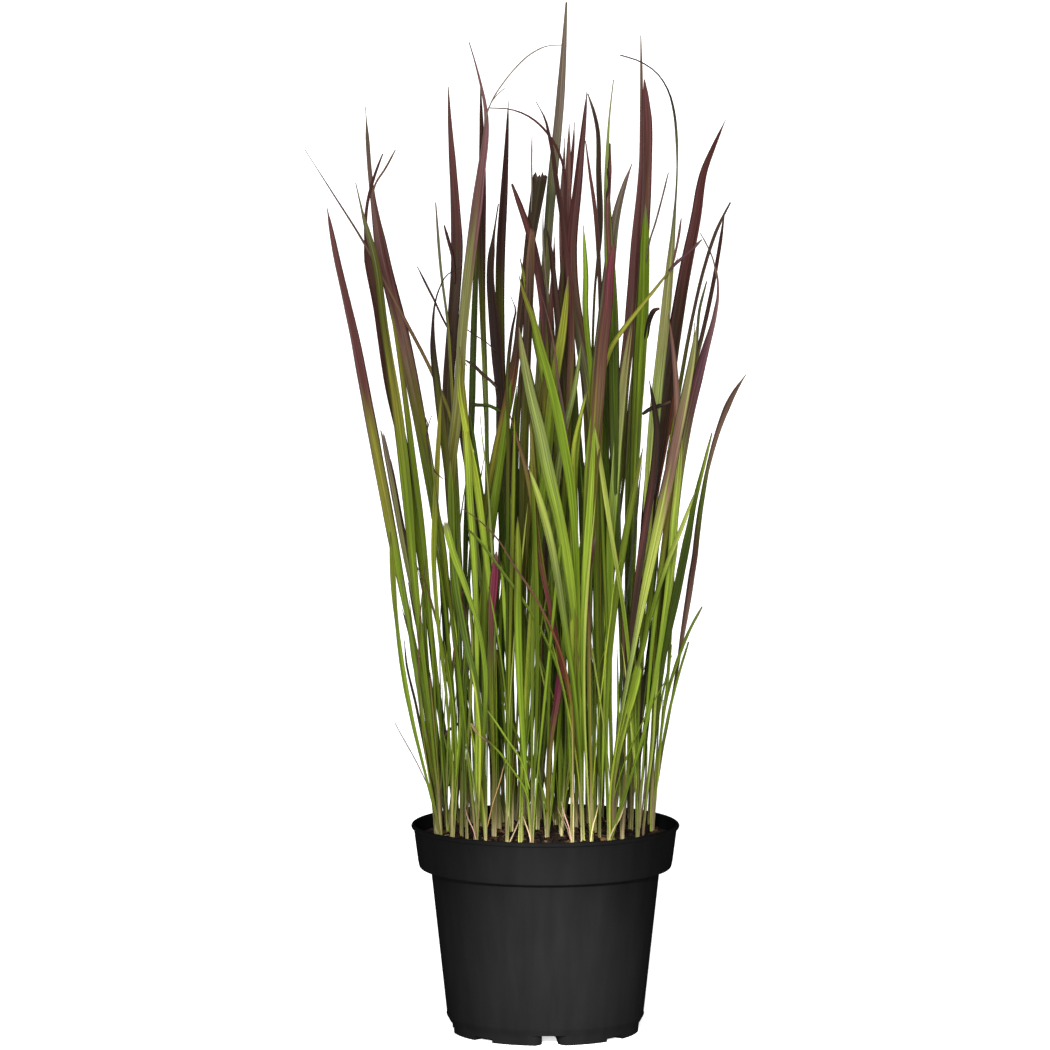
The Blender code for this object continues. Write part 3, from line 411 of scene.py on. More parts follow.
def drawnLeaf(base, leaf, turn):
    # its course as seen from the camera, which leaves the depth of its base for that of its tip
    depth, width, taper, look, seen = leaf
    x, y = base
    sight = (y - eye[1]) / -eye[1]
    foot = eye[[0, 2]] + (np.array([x, soilHeight(x, y) + courses["leafStart"]]) - eye[[0, 2]]) / sight
    course = smoothCourse([tuple(foot)] + seen[::-1], courses["points"])
    rise = np.clip((course[:, 1] - foot[1]) / (max(p[1] for p in seen) - foot[1]), 0.0, 1.0)
    path = alongSight(course, y + (depth - y) * courses["depthSpread"] * rise**1.4)
    return {"path": path, "width": leafWidth(width, taper, courses["points"]), "turn": turn, "drawn": True,
            "taper": taper, "look": look}


def plainLeaf(base, rng):
    # it rises from its base and leans outwards as it climbs
    x, y = base
    height = rng.uniform(*plainShape["height"])
    lean = rng.uniform(*plainShape["lean"]) * (height - soil["top"]) / plainShape["fullLeanOver"]
    side = rng.normal(0.0, plainShape["sideways"], 2)
    tip = np.array([x * (1 + lean) + side[0], y * (1 + lean) + side[1], height])
    s = np.linspace(0.0, 1.0, courses["points"])[:, None]
    foot = np.array([x, y, soilHeight(x, y) + courses["leafStart"]])
    bow = rng.normal(0.0, plainShape["bow"], 2)
    path = foot + (tip - foot) * np.hstack([s**1.3, s**1.3, s])
    path[:, :2] += np.sin(math.pi * s) * bow
    width = rng.uniform(*plainShape["width"])
    return {"path": path, "width": leafWidth(width, "point", courses["points"]),
            "turn": rng.uniform(-plainShape["turn"], plainShape["turn"]), "drawn": False, "taper": "point",
            "look": None}


def allShoots():
    # every shoot's base, with its drawn leaves and then its plain ones
    rng = np.random.default_rng(courses["seed"])
    rows = list(shootTable) + [(x, y, count, []) for x, y, count in plainTable]
    shoots = []
    for number, (x, y, plain, drawn) in enumerate(rows, 1):
        leaves = [drawnLeaf((x, y), leaf, rng.choice([-1, 1]) * rng.uniform(0.2, 0.75)) for leaf in drawn]
        leaves += [plainLeaf((x, y), rng) for _ in range(plain)]
        for order, leaf in enumerate(leaves, 1):
            leaf["shown"] = shownWidths.get((number, order))
        shoots.append({"base": (x, y), "leaves": leaves})
    return shoots


def partLeaves(shoots):
    # leaves of different shoots are pushed apart, level by level, a little at a time;
    # a drawn leaf moves only along its line of sight, so that it is seen where it was drawn
    leaves = [(number, leaf) for number, shoot in enumerate(shoots) for leaf in shoot["leaves"]]
    levels = courses["levels"]
    owner = np.array([number for number, _ in leaves])
    drawn = np.array([leaf["drawn"] for _, leaf in leaves])[:, None]
    count = len(leaves)
    place = np.full((2, count, len(levels)), np.nan)
    reach = np.zeros((count, len(levels)))
    for row, (_, leaf) in enumerate(leaves):
        top = int(np.argmax(leaf["path"][:, 2])) + 1
        x, y, z = leaf["path"][:top].T
        inside = (levels >= z[0]) & (levels <= z[-1] + courses["overTip"])
        place[0, row, inside] = np.interp(levels[inside], z, x)
        place[1, row, inside] = np.interp(levels[inside], z, y)
        slope = np.hypot(np.gradient(x, z), np.gradient(y, z))
        half = 0.5 * np.maximum(leaf["width"][:top], courses["leastWidth"]) * np.sqrt(1 + slope**2)
        reach[row, inside] = np.interp(levels[inside], z, half)
    others = owner[:, None] != owner[None, :]
    order = np.sign(np.arange(count)[:, None] - np.arange(count)[None, :])
    hold = np.clip((levels - levels[0]) / (courses["freeAbove"] - levels[0]), 0.0, 1.0)
    place, reach = place.astype(np.float32), reach.astype(np.float32)
    moved = np.zeros_like(place)
    for _ in range(courses["rounds"]):
        x, y = place + moved
        dx = x[:, None] - x[None]
        dy = y[:, None] - y[None]
        need = reach[:, None] + reach[None] + courses["clearance"]
        far = np.hypot(dx, dy)
        close = others[:, :, None] & (far < need)
        ahead = np.nansum(np.where(close, dy, 0.0), axis=2)
        along = np.where(np.abs(ahead) > 0.3, np.sign(ahead), order)[:, :, None]
        lack = np.sqrt(np.maximum(need**2 - dx**2, 0.0)) - along * dy
        pushDrawn = np.where(close, 0.5 * along * np.maximum(lack, 0.0), 0.0)
        ratio = np.where(close, 0.5 * (need - far) / np.maximum(far, 0.5), 0.0)
        pushX = np.where(drawn, 0.0, np.nansum(ratio * dx, axis=1))
        pushY = np.where(drawn, np.nansum(pushDrawn, axis=1), np.nansum(ratio * dy, axis=1))
        push = np.clip(np.stack([pushX, pushY]), -courses["largestStep"], courses["largestStep"])
        for _ in range(courses["smoothings"]):
            padded = np.pad(push, ((0, 0), (0, 0), (1, 1)), mode="edge")
            push = (padded[..., :-2] + 2 * padded[..., 1:-1] + padded[..., 2:]) / 4
        moved += push * hold * courses["stepShare"]
    for row, (_, leaf) in enumerate(leaves):
        z = leaf["path"][:, 2]
        shiftX = np.interp(z, levels, moved[0, row])
        shiftY = np.interp(z, levels, moved[1, row])
        if leaf["drawn"]:
            depth = leaf["path"][:, 1] - eye[1]
            leaf["path"] = eye + (leaf["path"] - eye) * ((depth + shiftY) / depth)[:, None]
        else:
            leaf["path"][:, 0] += shiftX
            leaf["path"][:, 1] += shiftY
    return shoots


leafColours = {
    "maroon": "532f2c", "darkMaroon": "361f1a", "mauve": "694841", "pinkBrown": "785a4d", "purple": "41282b",
    "purpleBrown": "4c3733", "greyPurple": "66544b", "magenta": "6e2a3c", "redBrown": "70402a",
    "brown": "5c4330",
    "darkBrown": "3b2b1f", "nearBlack": "241712", "greyBrown": "6f6152",
    "greyOlive": "7b7a48", "olive": "6b6822", "darkOlive": "424410", "yellowOlive": "82842a",
    "oliveGreen": "6a741e", "green": "6a801e", "midGreen": "5c6d18", "darkGreen": "39480c",
    "blueGreen": "5b7026", "greyGreen": "7d8a46", "paleGreen": "a0ab4c", "brightGreen": "879d30",
    "yellowGreen": "9eab35", "dryTan": "c09a66", "straw": "c0b27a", "beige": "bba382", "pinkStraw": "b59382",
    "brownStraw": "967d5c", "greenStraw": "aaad5c", "cream": "d8cba2", "duskOlive": "55553a",
    "smoke": "5a4c40",
    "duskMauve": "6b4848", "plum": "54303a", "pitch": "2b2415",
}
# the lamps give more light than the colours were judged in, so each is taken down to this share
leafDepth = 0.6
# The photograph's middle in its pixels, the millimetres that a pixel covers at the pot, and the x and z
# that the middle shows
photo = {"middle": 525.0, "pixel": 0.7037, "x": -14.4, "z": 359.7}


def fromPhoto(across, down):
    # a place in the photograph, in its pixels from its top left, as x and z in the plane y = 0
    return ((across - photo["middle"]) * photo["pixel"] + photo["x"],
            (photo["middle"] - down) * photo["pixel"] + photo["z"])


# Widths that drawn leaves show: the shoot and which of its leaves, and for rows of the photograph
# from the tip down the width in millimetres
shownWidths = {
    (3, 1): [(182, 0.4), (210, 1.4), (230, 3.5), (250, 4.5), (300, 6.0), (340, 6.5)],
    (5, 1): [(153, 0.8), (165, 1.5), (180, 1.9), (240, 2.2), (260, 5.0), (300, 6.0)],
    (7, 1): [(118, 0.5), (140, 3.5), (180, 3.8), (200, 4.5), (220, 6.3), (240, 8.4), (300, 9.0), (340, 9.8)],
    (9, 1): [(86, 0.4), (100, 1.4), (120, 2.8), (140, 4.2), (160, 6.0), (200, 7.7), (240, 9.0), (280, 8.0)],
    (10, 1): [(42, 0.7), (60, 1.2), (80, 2.0), (100, 2.6), (120, 3.5), (140, 4.9), (180, 7.0), (200, 8.4),
              (240, 9.0), (280, 9.0)],
    (13, 1): [(170, 8.5), (200, 8.4), (225, 7.7), (260, 6.2), (300, 5.4), (340, 4.6), (380, 6.2),
              (420, 6.6)],
    (24, 2): [(108, 0.8), (112, 1.2), (122, 1.6), (141, 1.8), (300, 1.8)],
    (38, 1): [(662, 5.0), (680, 7.4), (700, 7.0), (720, 5.6), (745, 4.0), (780, 3.0)],
    (24, 1): [(184, 1.5), (200, 3.5), (240, 5.0), (280, 5.5)],
    (34, 2): [(93, 0.7), (105, 2.4), (120, 3.3), (145, 3.8), (200, 4.4)],
    (35, 2): [(140, 0.7), (170, 2.1), (200, 3.2), (240, 3.5)],
    (41, 1): [(80, 0.7), (120, 1.4), (140, 2.1), (160, 2.8), (200, 4.5), (220, 5.5), (260, 7.0)],
    (43, 2): [(55, 0.9), (80, 1.0), (110, 1.8), (140, 1.9), (165, 1.1), (200, 1.5), (230, 3.0), (260, 5.0),
              (300, 6.5), (340, 7.0)],
    (40, 1): [(203, 0.4), (220, 4.0), (240, 7.5), (300, 8.5), (400, 9.6)],
    (42, 2): [(200, 1.2), (230, 2.8), (420, 2.8)],
    (46, 2): [(215, 1.0), (240, 2.8), (420, 2.8)],
    (45, 2): [(265, 1.0), (290, 2.0), (310, 3.2), (330, 4.2), (350, 5.6), (380, 7.0), (420, 7.0)],
    (22, 1): [(4, 1.2), (50, 4.0), (90, 5.6), (120, 6.3), (150, 7.0), (300, 7.0)],
    (8, 2): [(205, 0.8), (240, 2.0), (400, 2.2)],
    (12, 2): [(519, 3.0), (530, 4.2), (560, 4.2), (600, 3.6), (640, 3.0)],
    (16, 2): [(552, 0.8), (560, 3.6), (575, 5.8), (590, 6.2), (610, 5.2), (640, 4.0)],
    (26, 1): [(648, 1.0), (660, 3.4), (680, 5.4), (700, 5.4), (730, 4.0), (760, 3.0)],
    (45, 1): [(432, 0.8), (450, 2.0), (480, 3.0), (510, 4.0), (540, 5.5), (580, 6.0)],
    (46, 1): [(376, 0.6), (390, 3.0), (405, 4.6), (430, 3.6), (470, 2.6), (500, 3.6), (530, 4.6),
              (580, 4.6)],
    (47, 1): [(606, 0.8), (615, 1.8), (640, 2.4), (700, 2.4)],
    (47, 2): [(641, 1.0), (655, 1.8), (700, 2.0)],
    (47, 3): [(644, 1.0), (660, 1.6), (700, 2.0)],
    (10, 2): [(268, 0.8), (285, 1.2), (305, 1.6), (325, 2.6), (345, 4.2), (375, 5.0), (420, 5.0)],
    (15, 1): [(86, 0.6), (120, 3.0), (160, 5.0), (200, 6.2), (240, 5.6), (280, 4.6), (320, 3.8), (440, 3.2)],
    (22, 2): [(203, 0.8), (225, 1.2), (240, 2.4), (252, 5.0), (280, 5.5), (320, 7.4), (360, 7.4),
              (400, 6.0)],
    (36, 1): [(36, 0.6), (70, 2.0), (100, 2.4), (160, 3.0), (200, 5.0), (240, 7.0), (300, 8.4)],
    (40, 2): [(80, 0.8), (95, 4.0), (120, 6.6), (160, 6.8), (200, 7.0), (240, 7.6), (300, 8.0)],
}

# Leaves seen in the photograph that the shoots above leave out: the shoot that carries each, the depth y
# that its tip leans to, its width, taper and colours, and its course in the photograph's pixels
extraTable = [
    (25, 90, 6.2, "point", "maroon 560 mauve 500 brown 440 darkOlive",
     [(574, 122), (573, 145), (571, 165), (569, 185), (567, 205), (566, 240), (567, 280), (570, 330),
      (572, 380)]),
    (25, 80, 5.0, "point", "greyPurple 610 mauve 560 darkMaroon 480 darkOlive",
     [(564, 138), (564, 155), (563, 175), (562, 200), (562, 240), (564, 290), (565, 340)]),
    (24, -34, 5.0, "point", "darkMaroon 560 maroon 500 brown 450 olive 400 midGreen",
     [(536, 102), (545, 119), (549, 135), (553, 155), (557, 185), (562, 215), (566, 250), (570, 290),
      (571, 340),
      (569, 400)]),
    (24, -12, 6.2, "point", "darkMaroon 520 darkBrown 450 darkOlive 400 darkGreen",
     [(545, 222), (549, 240), (552, 260), (554, 280), (557, 310), (561, 350), (565, 400), (566, 450)]),
    (22, 10, 2.8, "point", "greyBrown 540 greyOlive 460 greyGreen",
     [(543, 208), (543, 240), (545, 270), (548, 300), (551, 340), (552, 380), (550, 440)]),
    (20, 0, 5.6, "point", "darkMaroon 540 maroon 500 brown 450 olive",
     [(554, 236), (554, 262), (552, 290), (549, 330), (545, 370), (538, 420)]),
    (21, -44, 6.4, "torn", "brown 535 darkBrown 460 darkOlive",
     [(533, 226), (531, 250), (530, 275), (529, 300), (528, 330), (527, 360), (525, 420)]),
    (33, -104, 7.6, "torn", "magenta 530 maroon 480 brown 420 olive 350 midGreen",
     [(613, 243), (610, 262), (608, 280), (607, 300), (605, 320), (602, 345), (600, 370), (598, 400),
      (595, 440),
      (592, 480), (590, 520)]),
    (21, -56, 8.4, "point", "yellowOlive 500 oliveGreen 440 green",
     [(568, 276), (565, 310), (561, 340), (556, 370), (552, 400), (549, 430), (545, 480), (540, 530)]),
    (34, 4, 6.4, "point", "brown 520 duskOlive 460 olive 400 midGreen",
     [(569, 262), (574, 310), (580, 345), (587, 380), (591, 410), (594, 450), (595, 500)]),
    (29, -66, 6.0, "point", "oliveGreen 420 green",
     [(585, 393), (580, 420), (576, 450), (574, 480), (575, 520), (574, 570)]),
    (29, -84, 3.4, "tail", "mauve 480 greyPurple 440 pinkBrown 400 olive",
     [(539, 286), (546, 310), (553, 340), (558, 380), (563, 410), (567, 440), (571, 480), (574, 530)]),
    (20, -22, 4.4, "point", "darkBrown 440 darkOlive 400 darkGreen",
     [(527, 330), (521, 370), (519, 400), (517, 430), (516, 460), (515, 510)]),
    (23, -62, 5.4, "point", "olive 380 midGreen", [(530, 414), (533, 460), (535, 500), (536, 540),
                                                   (534, 600)]),
    (35, -34, 7.4, "point", "darkGreen", [(604, 372), (604, 430), (606, 480), (607, 530), (604, 590)]),
    (31, -62, 7.6, "point", "green 380 midGreen", [(592, 408), (589, 460), (587, 520), (586, 560),
                                                   (584, 610)]),
    (35, -38, 6.4, "point", "darkOlive 470 darkBrown 440 darkGreen",
     [(609, 330), (615, 365), (618, 400), (618, 430), (615, 470), (611, 520), (606, 580)]),
    (38, -52, 7.6, "point", "brown 490 greyOlive 430 greyGreen 380 green",
     [(633, 312), (628, 345), (624, 375), (621, 405), (618, 440), (615, 480), (611, 530), (610, 590)]),
    (32, 40, 6.4, "point", "nearBlack 470 darkOlive 430 darkGreen",
     [(565, 346), (569, 375), (573, 400), (578, 440), (581, 480), (583, 540)]),
    (25, 50, 6.4, "point", "darkOlive 470 darkGreen",
     [(552, 296), (552, 340), (551, 380), (549, 430), (547, 480), (545, 540)]),
    (27, 30, 7.4, "point", "darkBrown 500 darkOlive 450 darkGreen",
     [(562, 280), (566, 320), (569, 350), (572, 380), (574, 420), (573, 460), (570, 520)]),
    (30, 14, 6.0, "point", "darkGreen", [(584, 462), (584, 500), (583, 540), (581, 600)]),
    (34, 8, 5.2, "point", "darkOlive 380 darkGreen", [(612, 430), (611, 470), (609, 520), (606, 580)]),
    (12, -74, 6.2, "point", "olive 460 yellowOlive 430 brightGreen",
     [(460, 346), (462, 375), (464, 400), (466, 430), (468, 460), (470, 500), (474, 560)]),
    (3, -44, 4.6, "point", "olive 440 midGreen",
     [(390, 303), (398, 345), (404, 385), (409, 425), (414, 465), (421, 520), (428, 590)]),
    (9, -12, 2.2, "tail", "oliveGreen 480 green", [(443, 288), (447, 320), (449, 350), (452, 400),
                                                   (455, 460)]),
    (43, -64, 5.2, "point", "mauve 480 pinkBrown 420 redBrown 380 olive 330 green",
     [(668, 314), (671, 335), (674, 360), (676, 385), (677, 410), (676, 440), (672, 480), (666, 530),
      (656, 610)]),
    (38, -72, 7.0, "point", "nearBlack 430 darkBrown 400 darkMaroon 370 maroon 330 darkBrown",
     [(649, 380), (652, 395), (655, 412), (657, 430), (656, 450), (653, 480), (648, 510), (643, 545),
      (634, 610)]),
    (31, -112, 6.6, "point", "olive 515 green 430 green 300 brightGreen",
     [(519, 275), (524, 294), (533, 318), (540, 345), (549, 376), (556, 405), (563, 440), (570, 480),
      (574, 520),
      (577, 580), (578, 640)]),
    (31, -104, 9.5, "point", "greyOlive 470 greyGreen 390 brightGreen 300 green",
     [(519, 327), (523, 354), (530, 390), (540, 432), (549, 475), (560, 522), (570, 580), (576, 640)]),
    (29, -118, 2.8, "tail", "brown 300 redBrown 235 olive 200 straw",
     [(463, 509), (476, 518), (496, 537), (513, 564), (533, 594), (553, 633), (564, 664), (571, 702),
      (573, 766)]),
    (37, -70, 6.4, "point", "olive 430 paleGreen 380 brightGreen 300 green",
     [(681, 420), (680, 450), (677, 490), (674, 520), (671, 560), (667, 600), (660, 650), (650, 710)]),
    (39, -80, 4.8, "point", "paleGreen 330 green",
     [(695, 492), (683, 524), (669, 559), (654, 604), (641, 656), (628, 711), (620, 780)]),
    (47, 0, 3.4, "point", "duskOlive 480 yellowOlive 430 oliveGreen",
     [(694, 322), (693, 345), (690, 365), (686, 390), (680, 430), (674, 490)]),
]

leafShape = {
    "stations": 90, "shortStations": 46,
    "across": np.array([-1.0, -0.7, -0.4, -0.13, 0.0, 0.13, 0.4, 0.7, 1.0]),
    "shortAcross": np.array([-1.0, -0.5, 0.0, 0.5, 1.0]),
    "thickness": 0.26, "midrib": 0.35, "sheathRoll": 2.7, "streaks": 0.16, "leastHalf": 0.28,
    "leastCosine": 0.7,
    # how much narrower a leaf is low down, and the heights between which it narrows
    "drawnSlim": (0.48, 440.0, 240.0), "plainSlim": (0.36, 400.0, 220.0),
}


def wander(rng, count, waves):
    # a slow random line from -1 to 1: a few sine waves of random phase added up
    s = np.linspace(0.0, 1.0, count)
    line = sum(np.sin(2 * math.pi * (s * k * rng.uniform(0.7, 1.3) + rng.uniform())) / k**0.5
               for k in range(1, waves + 1))
    return line / max(1e-6, np.abs(line).max())


def softStep(value, low, high):
    # 0 up to low and 1 from high on, with a smooth cubic between; low may be the greater one
    t = np.clip((value - low) / (high - low), 0.0, 1.0)
    return t * t * (3 - 2 * t)


def sectionFrame(path, turn):
    # the width starts square to the line of sight and is turned about the leaf's own course
    tangent = np.gradient(path, axis=0)
    tangent /= np.maximum(np.linalg.norm(tangent, axis=1), 1e-9)[:, None]
    across = np.cross(tangent, path - eye)
    across /= np.linalg.norm(across, axis=1)[:, None]
    back = np.cross(tangent, across)
    turn = np.asarray(turn)[:, None]
    return np.cos(turn) * across + np.sin(turn) * back, np.cos(turn) * back - np.sin(turn) * across


def mixed(tone, name, share):
    # the tone with this share of a named colour in it
    return tone * (1 - share) + linear(leafColours[name]) * share


def roundRing(values):
    # values across a leaf, carried over its outer side and back over its inner one
    return np.concatenate([values, values[-2:0:-1]])


def lookColours(look, height, u, rng):
    # the leaf's colours down its length: each change is a soft band, shifted a little from vein to vein
    words = look.split()
    names, changes = words[::2], [float(word) for word in words[1::2]]
    shift = rng.normal(0.0, 16.0, len(u))[None, :] + 34.0 * np.abs(u)[None, :] * rng.uniform(-0.2, 1)
    z = height[:, None] + shift
    tone = np.broadcast_to(linear(leafColours[names[0]]), z.shape + (3,)).copy()
    for name, change in zip(names[1:], changes):
        tone = mixed(tone, name, softStep(z, change + 22.0, change - 22.0)[..., None])
    return tone


def leafTones(leaf, path, t, u, rng):
    # colours round each ring: the leaf's bands, streaked from vein to vein, with redder edges, a pale rib,
    # a foot that goes from green to straw, and a dry tip
    rise = path[:, 2] - leaf["foot"]
    tone = lookColours(leaf["look"], seenHeight(path), roundRing(u), rng)
    streaks = 1 + leafShape["streaks"] * rng.normal(0.0, 1.0, len(u))
    tone = tone * np.clip(roundRing(streaks), 0.6, 1.5)[None, :, None]
    u = roundRing(u)
    blush = leaf["blush"] * np.abs(u)[None, :] ** 3 * softStep(rise, 120.0, 260.0)[:, None]
    tone = mixed(tone, "maroon", blush[..., None])
    pale = leaf["foot"] + leaf["paleHeight"] + rng.normal(0.0, 4.0, len(u))[None, :]
    share = softStep(path[:, 2][:, None], pale, pale - 45.0)[..., None] * leaf["paleShare"]
    tone = mixed(tone, leaf["footTone"], share)
    tone = mixed(tone, leaf["lowTone"], softStep(rise, 16.0, 0.0)[:, None, None] * 0.4)
    tone = tone * (1 + 0.10 * wander(rng, len(path), 7)[:, None, None])
    tone = tone * (1 + 0.22 * np.exp(-(u / 0.12) ** 2))[None, :, None] * leaf["light"]
    toTip = (t[-1] - t) * np.linalg.norm(np.diff(path, axis=0), axis=1).sum()
    tone = mixed(tone, leaf["tipTone"], softStep(toTip, leaf["dryTip"], 0.0)[:, None, None] * 0.75)
    return tone * leafDepth


def leafSurface(leaf, rng):
    # a closed thin leaf: an arc carried along the leaf's course, rolled into a tube at the foot and
    # opening to a shallow gutter above, with a rib along its middle and thin edges
    short = leaf.get("short", False)
    count = leafShape["shortStations"] if short else leafShape["stations"]
    u = leafShape["shortAcross"] if short else leafShape["across"]
    t = np.linspace(0.0, 1.0, count) ** 0.92
    fine = smoothCourse(leaf["path"], 400)
    at = np.linspace(0.0, 1.0, len(fine))
    path = np.stack([np.interp(t, at, fine[:, k]) for k in range(3)], axis=1)
    half = 0.5 * np.interp(t, np.linspace(0.0, 1.0, len(leaf["width"])), leaf["width"])
    # a leaf drawn from the front keeps the width that it shows there, though it is turned
    cosine = max(leafShape["leastCosine"], math.cos(leaf["turn"]))
    if leaf.get("drawn"):
        half = half / cosine
    slim, high, low = leafShape["drawnSlim" if leaf.get("drawn") else "plainSlim"]
    half = half * (1 - slim * softStep(path[:, 2], high, low))
    if leaf.get("shown"):
        rows, widths = (np.array(column, float)[::-1] for column in zip(*leaf["shown"]))
        rows = fromPhoto(0.0, rows)[1]
        given = 0.5 * np.interp(seenHeight(path), rows, widths) / cosine
        share = softStep(seenHeight(path), rows[0] - 60.0, rows[0])
        half = half * (1 - share) + given * share
    rise = path[:, 2] - leaf["foot"]
    # the sheath round the culm is rolled right round, and opens over the next stretch
    opening = leaf["opening"]
    opened = softStep(rise, 0.35 * opening, opening)
    roll = leafShape["sheathRoll"] + (leaf["gutter"] - leafShape["sheathRoll"]) * opened
    sheath = leaf["sheath"] * (1 - 0.45 * softStep(rise, 0.0, opening))
    half = np.where(rise < opening, np.maximum(half, sheath * softStep(opening - rise, 0.0, 0.6 * opening)),
                    half)
    turn = leaf["turn"] + leaf["twist"] * wander(rng, count, 3) * softStep(rise, 20.0, 160.0)
    across, back = sectionFrame(path, turn)
    half = half * (1 + 0.05 * wander(rng, count, 9))
    half = np.maximum(half, leafShape["leastHalf"])
    bend = np.minimum(roll, math.pi / 2)
    radius = np.where(roll > math.pi / 2, half, half / np.sin(bend))
    angle = roll[:, None] * u[None, :]
    side = radius[:, None] * np.sin(angle)
    deep = radius[:, None] * (1 - np.cos(angle)) - 0.5 * (radius * (1 - np.cos(roll)))[:, None]
    ripple = leaf["ripple"] * np.abs(u)[None, :] ** 2 * wander(rng, count, 12)[:, None]
    deep = deep + ripple * np.minimum(1.0, half / 2.0)[:, None]
    thick = leafShape["thickness"] * (1 - 0.65 * np.abs(u)) * min(1.0, half.max() / 1.6)
    rib = leafShape["midrib"] * np.exp(-(u / 0.1) ** 2) * np.clip(half / 2.5, 0.15, 1.0)[:, None]
    lengthwise = np.zeros((count, len(u)))
    if leaf["taper"] == "torn":
        # the end is torn: each vein breaks off at its own length
        jag = rng.uniform(-5.0, 1.0, len(u))
        lengthwise = softStep(t, 0.955, 1.0)[:, None] * jag[None, :]
    tangent = np.gradient(path, axis=0)
    tangent /= np.linalg.norm(tangent, axis=1)[:, None]
    behind = leaf["face"] * back[:, None]
    centre = path[:, None] + across[:, None] * side[..., None] - behind * deep[..., None]
    centre = centre + tangent[:, None] * lengthwise[..., None]
    outward = behind * np.cos(angle)[..., None] + across[:, None] * np.sin(angle)[..., None]
    outer = centre + outward * (0.5 * thick[None, :] + rib)[..., None]
    inner = centre - outward * (0.5 * thick)[None, :, None]
    ring = np.concatenate([outer, inner[:, -2:0:-1]], axis=1)
    tone = leafTones(leaf, path, t, u, rng)
    place = np.concatenate([[0.0], np.cumsum(np.linalg.norm(np.diff(path, axis=0), axis=1))])
    marks = np.broadcast_arrays(roundRing(u)[None, :] * 0.35 + leaf["mark"], place[:, None] / 90.0)
    return ring, tone, np.stack(marks, axis=-1)


def ringFaces(stations, sides):
    # quads between neighbouring rings, closed round each ring, and triangles over the two ends,
    # where column j of the outer side faces column sides - j of the inner side
    start = np.arange(stations - 1)[:, None] * sides
    a = start + np.arange(sides)[None, :]
    b = start + (np.arange(sides)[None, :] + 1) % sides
    quads = np.stack([a, b, b + sides, a + sides], axis=-1).reshape(-1, 4)
    k = np.arange(sides // 2)
    across = np.stack([k, (sides - k) % sides, sides - 1 - k], axis=-1)
    along = np.stack([k, sides - 1 - k, k + 1], axis=-1)
    cap = np.concatenate([across, along])
    cap = cap[(cap[:, 0] != cap[:, 1]) & (cap[:, 1] != cap[:, 2]) & (cap[:, 0] != cap[:, 2])]
    return quads, np.concatenate([cap, (stations - 1) * sides + cap[:, ::-1]])


def closedFaces(points, quads, triangles):
    # faces turned so that the volume they enclose is positive
    halves = np.concatenate([quads[:, [0, 1, 2]], quads[:, [0, 2, 3]], triangles])
    a, b, c = (points[halves[:, k]] for k in range(3))
    if np.einsum("ij,ij->", a - points[0], np.cross(b - points[0], c - points[0])) < 0:
        return quads[:, ::-1], triangles[:, ::-1]
    return quads, triangles


def newPiece(name, points, quads, triangles, material, tones=None, marks=None):
    # points in millimetres, faces as two index arrays, a colour and a UV place for each point
    mesh = bpy.data.meshes.new(name)
    mesh.vertices.add(len(points))
    mesh.vertices.foreach_set("co", (np.asarray(points, np.float32) * mm).ravel())
    corners = np.concatenate([np.ravel(quads), np.ravel(triangles)]).astype(np.int32)
    totals = np.concatenate([np.full(len(quads), 4), np.full(len(triangles), 3)]).astype(np.int32)
    mesh.loops.add(len(corners))
    mesh.loops.foreach_set("vertex_index", corners)
    mesh.polygons.add(len(totals))
    mesh.polygons.foreach_set("loop_start", np.concatenate([[0], np.cumsum(totals)[:-1]]).astype(np.int32))
    mesh.polygons.foreach_set("loop_total", totals)
    mesh.update(calc_edges=True)
    mesh.validate()
    mesh.polygons.foreach_set("use_smooth", np.full(len(mesh.polygons), True))
    if tones is not None:
        shade = mesh.color_attributes.new("tone", "FLOAT_COLOR", "POINT")
        solid = np.ones((len(tones), 1))
        shade.data.foreach_set("color", np.hstack([np.clip(tones, 0.0, 1.0), solid]).ravel())
    if marks is not None:
        layer = mesh.uv_layers.new(name="along")
        used = np.empty(len(mesh.loops), np.int32)
        mesh.loops.foreach_get("vertex_index", used)
        layer.data.foreach_set("uv", marks[used].astype(np.float32).ravel())
    mesh.materials.append(material)
    piece = bpy.data.objects.new(name, mesh)
    bpy.context.scene.collection.objects.link(piece)
    return piece


# What the leaves that carry no colours of their own look like, at the back, from this y on, and in front;
# the back ones get darker greens, which are painted shade for the shade deep in the clump
shadedBackFrom = 20.0
plainLooksAndShade = {
    "back": ["darkOlive 380 darkGreen", "maroon 400 darkOlive 330 darkGreen", "olive 360 darkGreen",
             "darkGreen", "midGreen", "darkMaroon 380 darkGreen"],
    "front": ["olive 400 midGreen", "midGreen", "brightGreen 260 midGreen", "oliveGreen 300 green",
              "brown 400 olive 350 green"],
}
# the shorter leaves the same way: darker greens at the back as painted shade, lighter ones in front
companionLooksAndShade = {
    "back": ["darkGreen", "midGreen", "darkGreen", "oliveGreen", "darkOlive", "greyGreen", "blueGreen"],
    "front": ["brightGreen", "midGreen", "green", "yellowGreen", "oliveGreen", "green", "paleGreen",
              "olive 250 green", "greyGreen", "brown 240 olive", "redBrown 260 green"],
}
footTones = ["straw", "brownStraw", "greenStraw", "beige", "pinkStraw", "brownStraw", "greyBrown"]


def seenPlace(path):
    # where a point is seen from the camera, in the plane y = 0
    away = -eye[1]
    return eye + (path - eye) * (away / (away + path[:, 1]))[:, None]


def seenHeight(path):
    return seenPlace(path)[:, 2]


# which set of looks a leaf takes: the back one, darkened with painted shade, or the front one
def sideOf(base):
    return "back" if base[1] > shadedBackFrom else "front"


